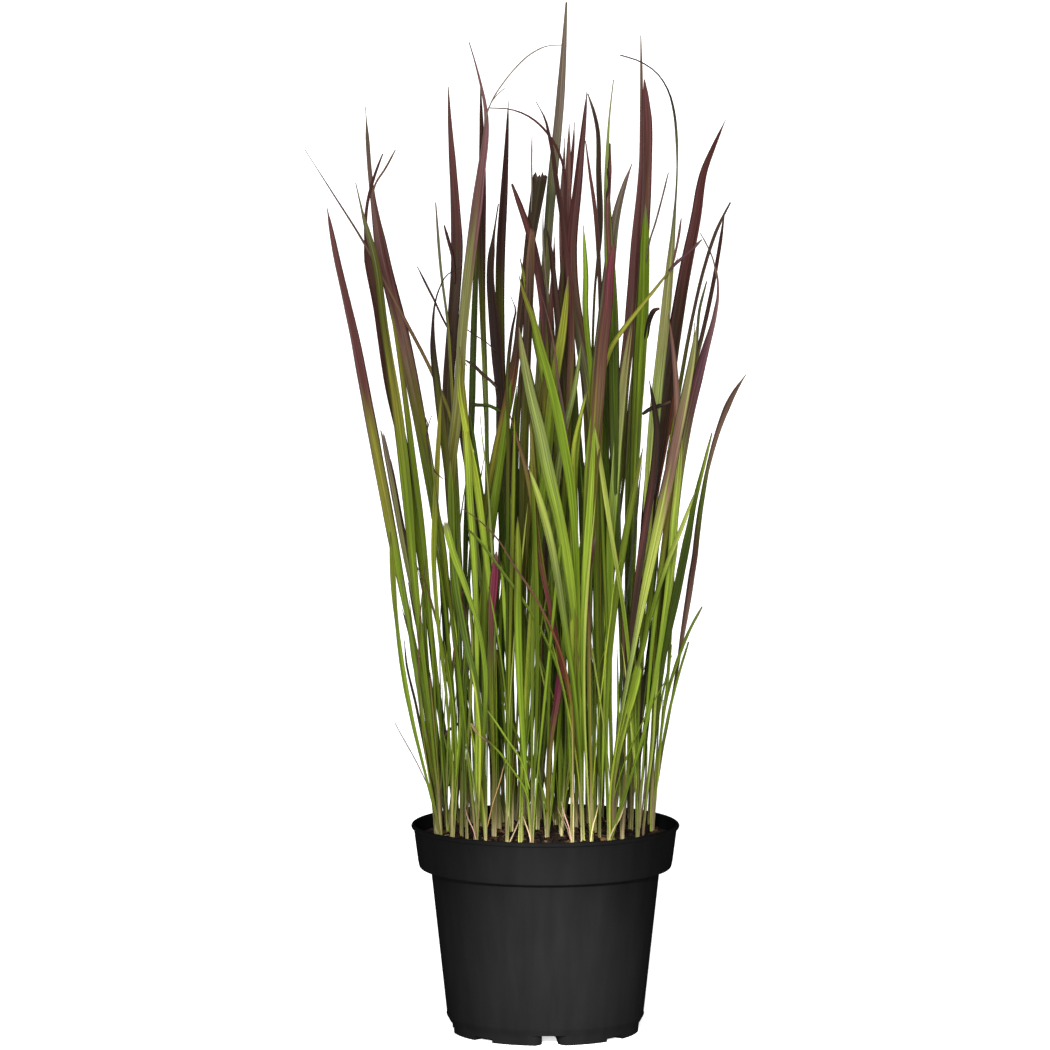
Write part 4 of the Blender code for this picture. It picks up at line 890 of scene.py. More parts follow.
def dressLeaf(leaf, base, rng):
    # what the course and width leave open: how the leaf rolls, twists and dries
    leaf["foot"] = soilHeight(*base)
    leaf["opening"] = rng.uniform(45.0, 105.0)
    leaf["gutter"] = rng.uniform(0.35, 0.8)
    leaf["sheath"] = rng.uniform(0.6, 1.0) if leaf.get("short") else rng.uniform(0.9, 1.4)
    leaf["twist"] = rng.uniform(0.1, 0.4)
    leaf["ripple"] = rng.uniform(0.1, 0.4)
    leaf["blush"] = rng.uniform(0.0, 0.45) if rng.uniform() < 0.6 else 0.0
    leaf["paleHeight"] = rng.uniform(26.0, 70.0)
    leaf["paleShare"] = rng.uniform(0.3, 0.8)
    leaf["footTone"] = rng.choice(footTones)
    leaf["lowTone"] = rng.choice(["straw", "cream", "yellowGreen", "brownStraw"])
    leaf["light"] = rng.uniform(0.88, 1.12)
    leaf["dryTip"] = rng.uniform(2.0, 16.0)
    leaf["tipTone"] = rng.choice(["greyBrown", "brown", "darkBrown", "purpleBrown"])
    leaf["mark"] = rng.uniform(0.0, 50.0)
    leaf["face"] = rng.choice([-1, 1])
    # a plain leaf at the back takes one of the darker looks, which paint the clump's shade into its colour
    if leaf["look"] is None:
        leaf["look"] = rng.choice(plainLooksAndShade[sideOf(base)])
    below = leaf["path"][:1] - np.array([[0.0, 0.0, 7.0]])
    leaf["path"] = np.vstack([below, leaf["path"]])
    leaf["width"] = np.concatenate([leaf["width"][:1], leaf["width"]])


# Thin leaves beside the others: how many a shoot has, how far they reach and how common each reach is,
# the widths of those longer than longFrom and of the rest, and any left out, by shoot and order
companions = {
    "seed": 31, "perShoot": 3, "reaches": [(60.0, 130.0), (130.0, 240.0), (240.0, 330.0)],
    "reachShares": [0.42, 0.40, 0.18], "longFrom": 110.0, "longWidth": (1.6, 4.2), "shortWidth": (1.2, 2.8),
    "inwardFrom": 52.0, "leftOut": {(10, 0)},
}


def companion(parent, base, order, rng):
    # a shorter leaf of the same shoot: it follows one of the shoot's leaves and leaves its side
    x = base[0]
    length = parent["path"][-1, 2] - parent["path"][0, 2]
    reach = rng.choice([rng.uniform(*span) for span in companions["reaches"]], p=companions["reachShares"])
    part = np.clip(reach / max(length, 1.0), 0.25, 0.92)
    at = np.linspace(0.0, part, courses["points"])
    path = np.stack([np.interp(at, np.linspace(0.0, 1.0, len(parent["path"])), parent["path"][:, k])
                     for k in range(3)], axis=1)
    s = np.linspace(0.0, 1.0, courses["points"])
    around = 2 * math.pi * (order / 3.1 + rng.uniform(0.0, 0.25)) + x
    start = rng.uniform(0.2, 1.5)
    lean = rng.normal(0.0, 11.0)
    if abs(x) > companions["inwardFrom"]:
        # the outermost ones lean in only, as nothing stands clear of the clump there
        lean = -math.copysign(lean, x)
    path[:, 0] += start * math.cos(around) + lean * part * s**1.5 * (0.5 + reach / 200.0)
    path[:, 1] += start * math.sin(around) + rng.normal(0.0, 8.0) * part * s**1.6 * (0.5 + reach / 200.0)
    path[:, 0] += rng.normal(0.0, 1.2) * np.sin(math.pi * s)
    width = rng.uniform(*companions["longWidth" if reach > companions["longFrom"] else "shortWidth"])
    taper = rng.choice(["point", "tail", "torn"], p=[0.7, 0.15, 0.15])
    # at the back its look is one of the darker greens, which are painted shade
    return {"path": path, "width": leafWidth(width, taper, courses["points"]),
            "turn": rng.uniform(-1.2, 1.2),
            "taper": taper, "look": rng.choice(companionLooksAndShade[sideOf(base)]), "short": True}


# Loose hairs, bent tips and broken bits: the shoot that carries each, its width, its colours and its
# course as seen from the camera, from its free end to where it joins the shoot
strayTable = [
    (5, 1.4, "brown", [(-105, 624), (-112, 611), (-119, 600), (-122, 590)]),
    (9, 1.6, "darkMaroon", [(-90, 542), (-84, 530), (-78, 518), (-73, 507), (-66, 494)]),
    (10, 0.9, "greyBrown", [(11, 697), (0, 696), (-10, 691), (-22, 680), (-30, 670), (-36, 661), (-40, 652),
                            (-43, 638)]),
    (10, 0.7, "greyBrown", [(-28.5, 667), (-35, 661), (-40, 653), (-42.5, 644)]),
    (13, 1.1, "greyBrown", [(-9.5, 633), (-9.8, 615), (-9.6, 600), (-10, 580)]),
    (9, 2.2, "darkMaroon", [(-71, 571), (-68, 560), (-65, 548), (-63.5, 530)]),
    (41, 3.2, "maroon", [(45, 628), (44.5, 605), (43.5, 580), (44.5, 555), (46, 530)]),
    (40, 1.4, "greyPurple", [(86, 608), (82, 592), (77, 573), (73, 560), (70.5, 545)]),
    (43, 1.7, "mauve", [(95, 576), (93, 562), (89, 543)]),
    (45, 1.0, "greyPurple", [(108, 566), (112, 559), (117, 548), (120, 534)]),
    (40, 3.6, "nearBlack", [(80, 512.5), (76.6, 511.4), (73.3, 505.8), (71.2, 496), (70.4, 491)]),
    (46, 2.0, "duskOlive", [(113, 531.7), (108, 511.4), (105.8, 485), (101, 458)]),
    (43, 2.8, "nearBlack", [(88, 447), (80, 444), (74, 442), (68, 438)]),
    (38, 2.2, "purple", [(109.5, 561), (103.8, 555.3), (96.8, 549), (91.2, 544), (86.2, 539)]),
    (41, 1.6, "darkMaroon", [(45.1, 628.5), (44, 620), (43.4, 609.5), (44.4, 600.4), (42.6, 589.8)]),
    (10, 0.9, "darkBrown", [(-85.5, 438), (-83, 432), (-83.5, 420), (-81.5, 411), (-79.5, 400), (-72, 392)]),
    (10, 0.8, "darkBrown", [(-80, 437), (-82, 431), (-83.5, 424), (-82.5, 414), (-79.5, 400), (-72, 392)]),
    (2, 1.2, "greyBrown", [(-106, 219), (-103, 213), (-98, 204), (-93, 195), (-88, 185), (-83, 174),
                           (-80, 165),
                           (-78, 152)]),
    (9, 3.0, "brown", [(-72, 208), (-69, 213), (-64, 217), (-60, 219), (-57.5, 218)]),
    (12, 3.0, "brownStraw", [(-40, 205), (-45, 209), (-49, 213), (-52.5, 219)]),
    (7, 2.4, "midGreen", [(-71, 172), (-68, 175), (-65, 176), (-63, 173)]),
    (5, 1.6, "midGreen", [(-72.5, 214), (-70, 202), (-67.5, 190), (-69, 172)]),
    (22, 2.4, "darkBrown", [(-56, 476), (-50, 472), (-44, 466), (-38, 461), (-33.5, 456)]),
    (22, 2.6, "darkGreen", [(-54, 445), (-48, 444.5), (-40, 444), (-31.5, 440)]),
    (22, 0.8, "darkBrown", [(-58, 500), (-50, 494), (-42, 489), (-34.5, 482)]),
    (9, 0.8, "darkBrown", [(-55, 472), (-60, 479), (-64, 484), (-66, 486)]),
    (23, 2.2, "brightGreen", [(-46, 234), (-38, 224), (-28, 209), (-17, 192), (-11, 172)]),
    (23, 2.6, "green", [(-42, 208), (-33, 199), (-24, 187), (-15, 173), (-11, 160)]),
    (26, 3.0, "green", [(-31, 235), (-24, 220), (-17, 203), (-10, 188), (-3, 174), (1, 156)]),
    (23, 1.3, "beige", [(-16, 153), (-13.5, 146), (-11.5, 140), (-10.2, 134)]),
    (19, 1.3, "beige", [(-18, 152), (-20, 146), (-23, 139), (-26, 133)]),
    (29, 1.5, "brownStraw", [(8, 160), (11, 153), (15, 145), (18, 135)]),
    (29, 1.3, "pinkStraw", [(11, 163), (13.5, 154), (16.5, 145), (18.4, 135)]),
    (12, 1.6, "pinkStraw", [(-57, 160), (-55, 152), (-51, 143), (-48.6, 134)]),
    (33, 1.2, "straw", [(38, 164), (36, 154), (33.5, 145), (32, 134)]),
    (37, 1.6, "beige", [(56, 161), (53, 152), (48, 143), (44.6, 135)]),
    (14, 1.4, "dryTan", [(-29, 190), (-32, 178), (-37, 162), (-41, 145)]),
    (31, 1.4, "brown", [(19, 196), (17.5, 182), (21, 165), (25, 145)]),
]


def strayLeaf(stray, shoot, rng):
    # it lies just in front of the leaf of its shoot that its lower end is seen nearest to
    _, width, look, seen = stray
    near = [np.linalg.norm(seenPlace(leaf["path"])[:, [0, 2]] - np.array(seen[-1]), axis=1)
            for leaf in shoot["leaves"]]
    best = int(np.argmin([away.min() for away in near]))
    depth = shoot["leaves"][best]["path"][int(np.argmin(near[best])), 1]
    s = np.linspace(0.0, 1.0, courses["points"])
    path = alongSight(smoothCourse(seen[::-1], courses["points"]), depth - 2.5 + rng.normal(0.0, 2.0) * s)
    tip, low = np.minimum(1.0, 0.45 + 3.0 * (1.0 - s)), np.minimum(1.0, 0.6 + 3.0 * s)
    return {"path": path, "width": width * tip * low, "turn": rng.uniform(-0.4, 0.4), "taper": "point",
            "look": look, "short": True}


def extraLeaves(number, base, rng):
    # a shoot's rows of the table, with their courses turned from pixels to millimetres
    return [drawnLeaf(base, (*leaf, [fromPhoto(*point) for point in seen]), rng.uniform(-0.5, 0.5))
            for shoot, *leaf, seen in extraTable if shoot == number]


def joined(leaves, rng):
    # the surfaces of several leaves as one set of points, faces, colours and places
    points, quads, triangles, tones, marks, offset = [], [], [], [], [], 0
    for leaf in leaves:
        ring, tone, mark = leafSurface(leaf, rng)
        own = ring.reshape(-1, 3)
        q, t = closedFaces(own, *ringFaces(*ring.shape[:2]))
        points.append(own)
        quads.append(q + offset)
        triangles.append(t + offset)
        tones.append(tone.reshape(-1, 3))
        marks.append(mark.reshape(-1, 2))
        offset += len(own)
    return [np.concatenate(part) for part in (points, quads, triangles, tones, marks)]


def growShoots(material):
    # one mesh for each shoot: its own leaves, its companions and extra leaves, and its loose bits
    for number, shoot in enumerate(partLeaves(allShoots()), 1):
        rng = np.random.default_rng([companions["seed"], number])
        base, own = shoot["base"], shoot["leaves"]
        added = [companion(own[k % len(own)], base, k, rng) for k in range(companions["perShoot"])]
        added = [leaf for k, leaf in enumerate(added) if (number, k) not in companions["leftOut"]]
        bits = [strayLeaf(stray, shoot, rng) for stray in strayTable if stray[0] == number]
        added += extraLeaves(number, base, rng)
        for leaf in own + added:
            dressLeaf(leaf, base, rng)
        for leaf in bits:
            dressLeaf(leaf, base, rng)
            leaf["path"], leaf["width"] = leaf["path"][1:], leaf["width"][1:]
            leaf.update(sheath=0.0, opening=1.0, gutter=rng.uniform(0.4, 1.2), blush=0.0, paleShare=0.0,
                        foot=leaf["path"][0, 2] - 60.0, ripple=0.1)
        points, quads, triangles, tones, marks = joined(own + added + bits, rng)
        node = f"shoot_{number:02d}"
        piece = newPiece(node + "_leaves", points, quads, triangles, material, tones, marks)
        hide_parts(node)
        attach(piece, "root")


def makeLeafMaterial():
    # Grass leaf: living, waxy and finely ribbed along its length, so it is satin and softly streaked
    material, tree, shader = newMaterial("grass_leaf_ribbed_satin")
    tone = addNode(tree, "Attribute", {"attribute_name": "tone"}).outputs["Color"]
    place = addNode(tree, "UVMap", {"uv_map": "along"}).outputs["UV"]
    # veins lie about 0.5 mm apart; they are drawn near 1.2 mm, the finest that shows
    fine = addNode(tree, "Mapping", Vector=place, Scale=(22.0, 1.2, 1.0)).outputs["Vector"]
    veins = addNode(tree, "TexNoise", Vector=fine, Scale=1.0, Detail=3.0, Roughness=0.6).outputs["Fac"]
    broad = addNode(tree, "Mapping", Vector=place, Scale=(9.0, 1.1, 1.0)).outputs["Vector"]
    patches = addNode(tree, "TexNoise", Vector=broad, Scale=1.0, Detail=2.0).outputs["Fac"]
    light = addNode(tree, "MapRange", Value=veins, To_Min=0.55, To_Max=1.45, **noiseSpan).outputs["Result"]
    mottle = addNode(tree, "MapRange", Value=patches, To_Min=0.7, To_Max=1.3, **noiseSpan).outputs["Result"]
    both = addNode(tree, "Math", {"operation": "MULTIPLY"}, at0=light, at1=mottle).outputs["Value"]
    shaded = addNode(tree, "VectorMath", {"operation": "SCALE"}, at0=tone, Scale=both).outputs["Vector"]
    tree.links.new(shaded, shader.inputs["Base Color"])
    rough = addNode(tree, "MapRange", Value=patches, To_Min=0.4, To_Max=0.58, **noiseSpan).outputs["Result"]
    tree.links.new(rough, shader.inputs["Roughness"])
    bump = addNode(tree, "Bump", Strength=0.35, Distance=0.0003, Height=veins)
    tree.links.new(bump.outputs["Normal"], shader.inputs["Normal"])
    shader.inputs["IOR"].default_value = 1.42
    shader.inputs["Specular IOR Level"].default_value = 0.1
    return material


growShoots(makeLeafMaterial())
say("shoots")


# Pot: driving sizes in millimetres, with how far its cuts reach, and its tones
pot = {
    "height": 148.0, "rim": 95.0, "bandTop": 93.0, "bandLow": 89.9, "bandLowZ": 120.8, "bandRoundZ": 117.2,
    "shoulderZ": 115.4, "bodyTop": 80.9, "bodyLow": 69.6, "bodyLowZ": 12.0, "foot": 66.2, "wall": 1.3,
    "floor": 1.5, "steps": 180,
    "channels": 4, "channelTurn": math.radians(-86.9), "channelHeight": 7.2, "channelHalf": 5.5,
    "mouthRadius": 10.0, "mouthStart": 56.0, "innerEnd": 26.0, "holeRadius": 3.5, "holePlace": 42.0,
    "notchHeight": 3.0, "notchHalf": 8.5, "notchEnd": 58.0, "footChamfer": 6.0,
    "cutReach": 76.0, "cutBelow": -3.0, "mouthAbove": 6.0, "holeBelow": 2.0, "holeAbove": 4.0,
    "tones": [(0.3, "0c0c0c"), (0.55, "0e0e0e"), (0.75, "101011")], "dust": "2b2a29", "dustShare": 0.05,
}
# what touching pieces keep between them
gap = 0.3


def softened(profile, cuts):
    # each corner of a profile is replaced by a short curve, as far along its sides as its cut says
    profile = np.asarray(profile, float)
    points = [profile[0]]
    for before, corner, after, cut in zip(profile, profile[1:], profile[2:], cuts):
        first, second = before - corner, after - corner
        reach = min(cut, 0.45 * np.linalg.norm(first), 0.45 * np.linalg.norm(second))
        if reach <= 0:
            points.append(corner)
            continue
        start = corner + first / np.linalg.norm(first) * reach
        end = corner + second / np.linalg.norm(second) * reach
        for t in (0.0, 0.25, 0.5, 0.75, 1.0):
            points.append((1 - t) ** 2 * start + 2 * t * (1 - t) * corner + t * t * end)
    return np.array(points + [profile[-1]])


def turnedFaces(rings, steps):
    # quads between neighbouring rings, and a fan to each of the two poles, whose points follow the rings'
    k = np.arange(steps)
    after = (k + 1) % steps
    start = np.arange(rings - 1)[:, None] * steps
    a, b = start + k, start + after
    quads = np.stack([a, a + steps, b + steps, b], axis=-1).reshape(-1, 4)
    last, pole = (rings - 1) * steps, np.full(steps, rings * steps)
    return quads, np.concatenate([np.stack([pole, k, after], axis=-1),
                                  np.stack([pole + 1, last + after, last + k], axis=-1)])


def turned(name, profile, steps, material):
    # a profile of (radius, z), with both ends on the axis, turned about Z into a closed surface
    profile = np.asarray(profile, float)
    angle = 2 * math.pi * np.arange(steps) / steps
    radius, z = profile[1:-1, 0], profile[1:-1, 1]
    rings = np.stack([radius[:, None] * np.cos(angle), radius[:, None] * np.sin(angle),
                      np.broadcast_to(z[:, None], (len(z), steps))], axis=-1).reshape(-1, 3)
    points = np.vstack([rings, [[0.0, 0.0, profile[0, 1]], [0.0, 0.0, profile[-1, 1]]]])
    quads, ends = closedFaces(points, *turnedFaces(len(z), steps))
    return newPiece(name, points, quads, ends, material)


def prism(name, outlines, low, high, material):
    # upright blocks over the given plans, counter-clockwise outlines, in one cutter
    points, faces = [], []
    for outline, top in zip(outlines, high):
        count, first = len(outline), sum(len(block) for block in points)
        points.append(np.vstack([np.column_stack([outline, np.full(count, level)]) for level in (low, top)]))
        index = first + np.arange(count)
        after = np.roll(index, -1)
        faces += [index[::-1].tolist(), (index + count).tolist()]
        faces += np.stack([index, after, after + count, index + count], axis=-1).tolist()
    mesh = bpy.data.meshes.new(name)
    mesh.from_pydata((np.concatenate(points) * mm).tolist(), [], faces)
    mesh.materials.append(material)
    piece = bpy.data.objects.new(name, mesh)
    bpy.context.scene.collection.objects.link(piece)
    return piece


def channelOutline(margin):
    # plan of one drainage channel along +X: round inner end, straight run, flared mouth
    half, flare = pot["channelHalf"] + margin, pot["mouthRadius"] - margin
    start = pot["innerEnd"] + pot["channelHalf"]
    quarter = np.radians(np.linspace(0.0, 90.0, 9))
    mouth = np.column_stack([pot["mouthStart"] + flare * np.cos(quarter),
                             half + flare - flare * np.sin(quarter)])
    inner = np.column_stack([start - half * np.sin(quarter), half * np.cos(quarter)])
    side = np.vstack([[[pot["cutReach"], half + flare]], mouth, inner])
    return np.vstack([side, (side * [1, -1])[-2::-1]])


def turnPlan(outline, angle):
    # a plan turned about the pot's axis
    cos, sin = math.cos(angle), math.sin(angle)
    return np.asarray(outline) @ np.array([[cos, sin], [-sin, cos]])


def underside(name, margin, rise, material):
    # the four channels, and a low notch halfway between two of them
    outlines, tops = [], []
    for number in range(pot["channels"]):
        turn = pot["channelTurn"] + number * 2 * math.pi / pot["channels"]
        outlines.append(turnPlan(channelOutline(margin), turn))
        tops.append(pot["channelHeight"] + rise)
        inner, half = pot["notchEnd"] - margin, pot["notchHalf"] + margin
        notch = [(inner, -half), (pot["cutReach"], -half), (pot["cutReach"], half), (inner, half)]
        outlines.append(turnPlan(notch, turn + math.pi / pot["channels"]))
        tops.append(pot["notchHeight"] + rise)
    return prism(name, outlines, pot["cutBelow"], tops, material)


def cut(piece, tool):
    bite = piece.modifiers.new("cut_" + tool.name, "BOOLEAN")
    bite.operation = "DIFFERENCE"
    bite.object = tool
    bite.solver = "EXACT"


def settle(piece, tools):
    # the piece's cuts become its mesh, and the cutters go
    graph = bpy.context.evaluated_depsgraph_get()
    made = bpy.data.meshes.new_from_object(piece.evaluated_get(graph))
    piece.modifiers.clear()
    piece.data = made
    for tool in tools:
        bpy.data.objects.remove(tool, do_unlink=True)


def innerProfile(inset):
    # inside of the wall from under the band down to the floor, drawn in by an inset
    wall = pot["wall"] + inset
    return [
        (pot["bandLow"] - wall, pot["bandLowZ"] + 0.5),
        (pot["bandLow"] - wall - 1.2, pot["bandRoundZ"] + 1.1 + inset),
        (pot["bodyTop"] + 5.4 - inset, pot["shoulderZ"] + 2.6 + inset),
        (pot["bodyTop"] - wall, pot["shoulderZ"] + 1.6 + inset),
        (pot["bodyLow"] - wall, pot["bodyLowZ"]),
        (pot["foot"] - wall + 0.3, pot["bodyLowZ"] - pot["footChamfer"]),
        (pot["foot"] - wall, pot["floor"] + inset),
        (0.0, pot["floor"] + inset),
    ]


def makePotMaterial():
    # Black polypropylene, thermoformed: the sheet's fine grain makes it satin, with faint drawn streaks
    material, tree, shader = newMaterial("black_polypropylene_thermoformed")
    place = addNode(tree, "TexCoord").outputs["Object"]
    grain = addNode(tree, "TexNoise", Vector=place, Scale=1400.0, Detail=2.0).outputs["Fac"]
    drawn = addNode(tree, "Mapping", Vector=place, Scale=(90.0, 90.0, 6.0)).outputs["Vector"]
    streaks = addNode(tree, "TexNoise", Vector=drawn, Scale=1.0, Detail=4.0, Roughness=0.6).outputs["Fac"]
    cloud = addNode(tree, "TexNoise", Vector=place, Scale=14.0, Detail=3.0).outputs["Fac"]
    ramp = addNode(tree, "ValToRGB", Fac=streaks)
    stops = ramp.color_ramp.elements
    stops.new(0.5)
    for stop, (spot, code) in zip(stops, pot["tones"]):
        stop.position = spot
        stop.color = colour(code)
    dust = addNode(tree, "MapRange", Value=cloud, From_Min=0.35, From_Max=0.75).outputs["Result"]
    thin = addNode(tree, "Math", {"operation": "MULTIPLY"}, at0=dust, at1=pot["dustShare"]).outputs["Value"]
    dusty = addNode(tree, "Mix", {"data_type": "RGBA"}, at0=thin, at6=ramp.outputs["Color"],
                    at7=colour(pot["dust"]))
    tree.links.new(dusty.outputs[2], shader.inputs["Base Color"])
    rough = addNode(tree, "MapRange", Value=cloud, To_Min=0.52, To_Max=0.62, **noiseSpan).outputs["Result"]
    tree.links.new(rough, shader.inputs["Roughness"])
    bump = addNode(tree, "Bump", Strength=0.25, Distance=0.00005, Height=grain)
    wave = addNode(tree, "Bump", Strength=0.15, Distance=0.0001, Height=streaks,
                   Normal=bump.outputs["Normal"])
    tree.links.new(wave.outputs["Normal"], shader.inputs["Normal"])
    shader.inputs["Specular IOR Level"].default_value = 0.0
    return material


def makePot():
    # the turned outer form, less its inside, the channels and notches under it and their drain holes
    material = makePotMaterial()
    high, rim, above = pot["height"], pot["rim"], pot["height"] + pot["mouthAbove"]
    outer = [
        (0.0, high), (rim - 1.2, high), (rim, high - 1.5), (rim - 0.7, high - 3.0),
        (pot["bandTop"], high - 3.4),
        (pot["bandLow"], pot["bandLowZ"]), (pot["bandLow"] - 0.9, pot["bandRoundZ"]),
        (pot["bandLow"] - 3.1, pot["shoulderZ"] + 1.2), (pot["bodyTop"], pot["shoulderZ"]),
        (pot["bodyLow"] + 0.1, pot["bodyLowZ"] + 0.9), (pot["bodyLow"] + 0.5, pot["bodyLowZ"] + 0.4),
        (pot["bodyLow"] + 0.1, pot["bodyLowZ"] - 0.8),
        (pot["foot"] + 0.6, pot["bodyLowZ"] - pot["footChamfer"]), (pot["foot"], 0.0), (0.0, 0.0),
    ]
    cuts = [1.0, 0.8, 0.5, 0.6, 2.2, 2.4, 1.6, 0.9, 0.2, 0.2, 0.8, 2.0, 0.5]
    shell = turned("pot_moulded_shell", softened(outer, cuts), pot["steps"], material)
    mouth = [(0.0, above), (rim - 1.9, above), (rim - 1.9, high + 0.2), (rim - 3.1, high - 0.8),
             (pot["bandTop"] - pot["wall"], high - 3.6)]
    hollow = softened(mouth + innerProfile(0.0), [0.0, 0.0, 0.4, 0.5, 1.5, 1.5, 1.0, 1.0, 2.0, 1.0, 0.8])
    inside = turned("inside", hollow, pot["steps"], material)
    ridges = underside("ridges", pot["wall"], pot["floor"], material)
    cut(inside, ridges)
    channels = underside("channels", 0.0, 0.0, material)
    circle = np.radians(np.arange(0.0, 360.0, 15.0))
    ring = np.column_stack([np.cos(circle), np.sin(circle)]) * pot["holeRadius"] + [pot["holePlace"], 0.0]
    turns = [pot["channelTurn"] + number * 2 * math.pi / pot["channels"]
             for number in range(pot["channels"])]
    holes = prism("holes", [turnPlan(ring, turn) for turn in turns], pot["channelHeight"] - pot["holeBelow"],
                  [pot["channelHeight"] + pot["holeAbove"]] * pot["channels"], material)
    for tool in (inside, channels, holes):
        cut(shell, tool)
    settle(shell, (inside, channels, holes, ridges))
    shell.data.shade_smooth()
    shell.data.set_sharp_from_angle(angle=math.radians(28.0))
    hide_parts("pot")
    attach(shell, "root")


makePot()
say("pot")


def lumps(x, y, seed, size):
    # a rough height from about -1 to 1: sine waves in random directions, finer and lower each time
    rng = np.random.default_rng(seed)
    octaves, waves = 4, 5
    total, share = np.zeros_like(x), 1.0
    for _ in range(octaves):
        for _ in range(waves):
            angle, phase = rng.uniform(0, 2 * math.pi, 2)
            way = x * math.cos(angle) + y * math.sin(angle)
            total = total + share * np.sin(way * 2 * math.pi / size + phase)
        share, size = share * 0.62, size * 0.5
    return total / waves


def makeSoilMaterial():
    # Peat and composted bark: crumbly, moist and very dark, with brown fibres
    material, tree, shader = newMaterial("peat_and_bark_crumb")
    place = addNode(tree, "TexCoord").outputs["Object"]
    tone = addNode(tree, "Attribute", {"attribute_name": "tone"}).outputs["Color"]
    crumbs = addNode(tree, "TexNoise", Vector=place, Scale=700.0, Detail=4.0, Roughness=0.7).outputs["Fac"]
    light = addNode(tree, "MapRange", Value=crumbs, To_Min=0.22, To_Max=0.85, **noiseSpan).outputs["Result"]
    shaded = addNode(tree, "VectorMath", {"operation": "SCALE"}, at0=tone, Scale=light).outputs["Vector"]
    tree.links.new(shaded, shader.inputs["Base Color"])
    rough = addNode(tree, "MapRange", Value=crumbs, To_Min=0.8, To_Max=1.0, **noiseSpan).outputs["Result"]
    tree.links.new(rough, shader.inputs["Roughness"])
    bump = addNode(tree, "Bump", Strength=0.8, Distance=0.0006, Height=crumbs)
    tree.links.new(bump.outputs["Normal"], shader.inputs["Normal"])
    shader.inputs["Specular IOR Level"].default_value = 0.1
    return material


def soilTop(x, y):
    # the mound with broad swells and clods on it, which fade out where it meets the pot
    rough = 0.9 * lumps(x, y, *soil["swells"]) + 0.5 * np.maximum(lumps(x, y, *soil["clods"]), -0.2)
    rim = softStep(np.hypot(x, y), soil["edge"] - soil["rimFade"], soil["edge"])
    return soilHeight(x, y) + soil["roughness"] * rough * (1 - rim) - soil["rimDrop"] * rim


def scattered(count, shape, tones, sizes, flat, rng, sink=0.35):
    # copies of one small closed shape, each stretched, turned and set into the soil at random
    size = rng.uniform(sizes[0] ** 0.5, sizes[1] ** 0.5, count) ** 2
    radius = (soil["edge"] - 1.9 * size) * np.sqrt(rng.uniform(0.0, 1.0, count))
    angle = rng.uniform(0.0, 2 * math.pi, count)
    x, y = radius * np.cos(angle), radius * np.sin(angle)
    stretch = rng.uniform(0.55, 1.3, (count, 3)) * size[:, None]
    stretch[:, 2] *= flat
    spin = rng.uniform(0.0, 2 * math.pi, count)
    tilt = rng.normal(0.0, 0.35, count)
    points, faces = shape
    local = points[None] * (1 + 0.22 * rng.normal(0.0, 1.0, (count, len(points), 1))) * stretch[:, None]
    c, s = np.cos(tilt)[:, None], np.sin(tilt)[:, None]
    lx, lz = local[..., 0] * c + local[..., 2] * s, local[..., 2] * c - local[..., 0] * s
    ly = local[..., 1]
    c, s = np.cos(spin)[:, None], np.sin(spin)[:, None]
    height = soilTop(x, y) + stretch[:, 2] * (1 - 2 * sink)
    wide, deep = lx * c - ly * s + x[:, None], lx * s + ly * c + y[:, None]
    world = np.stack([wide, deep, lz + height[:, None]], axis=-1)
    tone = np.array([linear(code) for code in tones])[rng.integers(0, len(tones), count)]
    tone = tone * rng.uniform(0.7, 1.35, (count, 1))
    index = (faces[None] + (np.arange(count) * len(points))[:, None, None]).reshape(-1, 3)
    return world.reshape(-1, 3), index, np.repeat(tone, len(points), axis=0)


def crumbShape():
    # a six-sided lump of three rings between two poles
    sides = 6
    angle = 2 * math.pi * np.arange(sides) / sides
    rings = [np.column_stack([np.cos(angle + turn) * r, np.sin(angle + turn) * r, np.full(sides, z)])
             for r, z, turn in ((0.75, -0.55, 0.0), (1.0, 0.05, 0.5), (0.7, 0.6, 0.0))]
    points = np.vstack(rings + [[[0.0, 0.0, -0.9]], [[0.0, 0.0, 0.92]]])
    k = np.arange(sides)
    n, pole = (k + 1) % sides, np.full(sides, 3 * sides)
    faces = [np.stack([n, k, pole], axis=-1), np.stack([k + 2 * sides, n + 2 * sides, pole + 1], axis=-1)]
    for row in (0, sides):
        faces += [np.stack(side, axis=-1) + row for side in ((k, n, n + sides), (k, n + sides, k + sides))]
    return points, np.concatenate(faces)


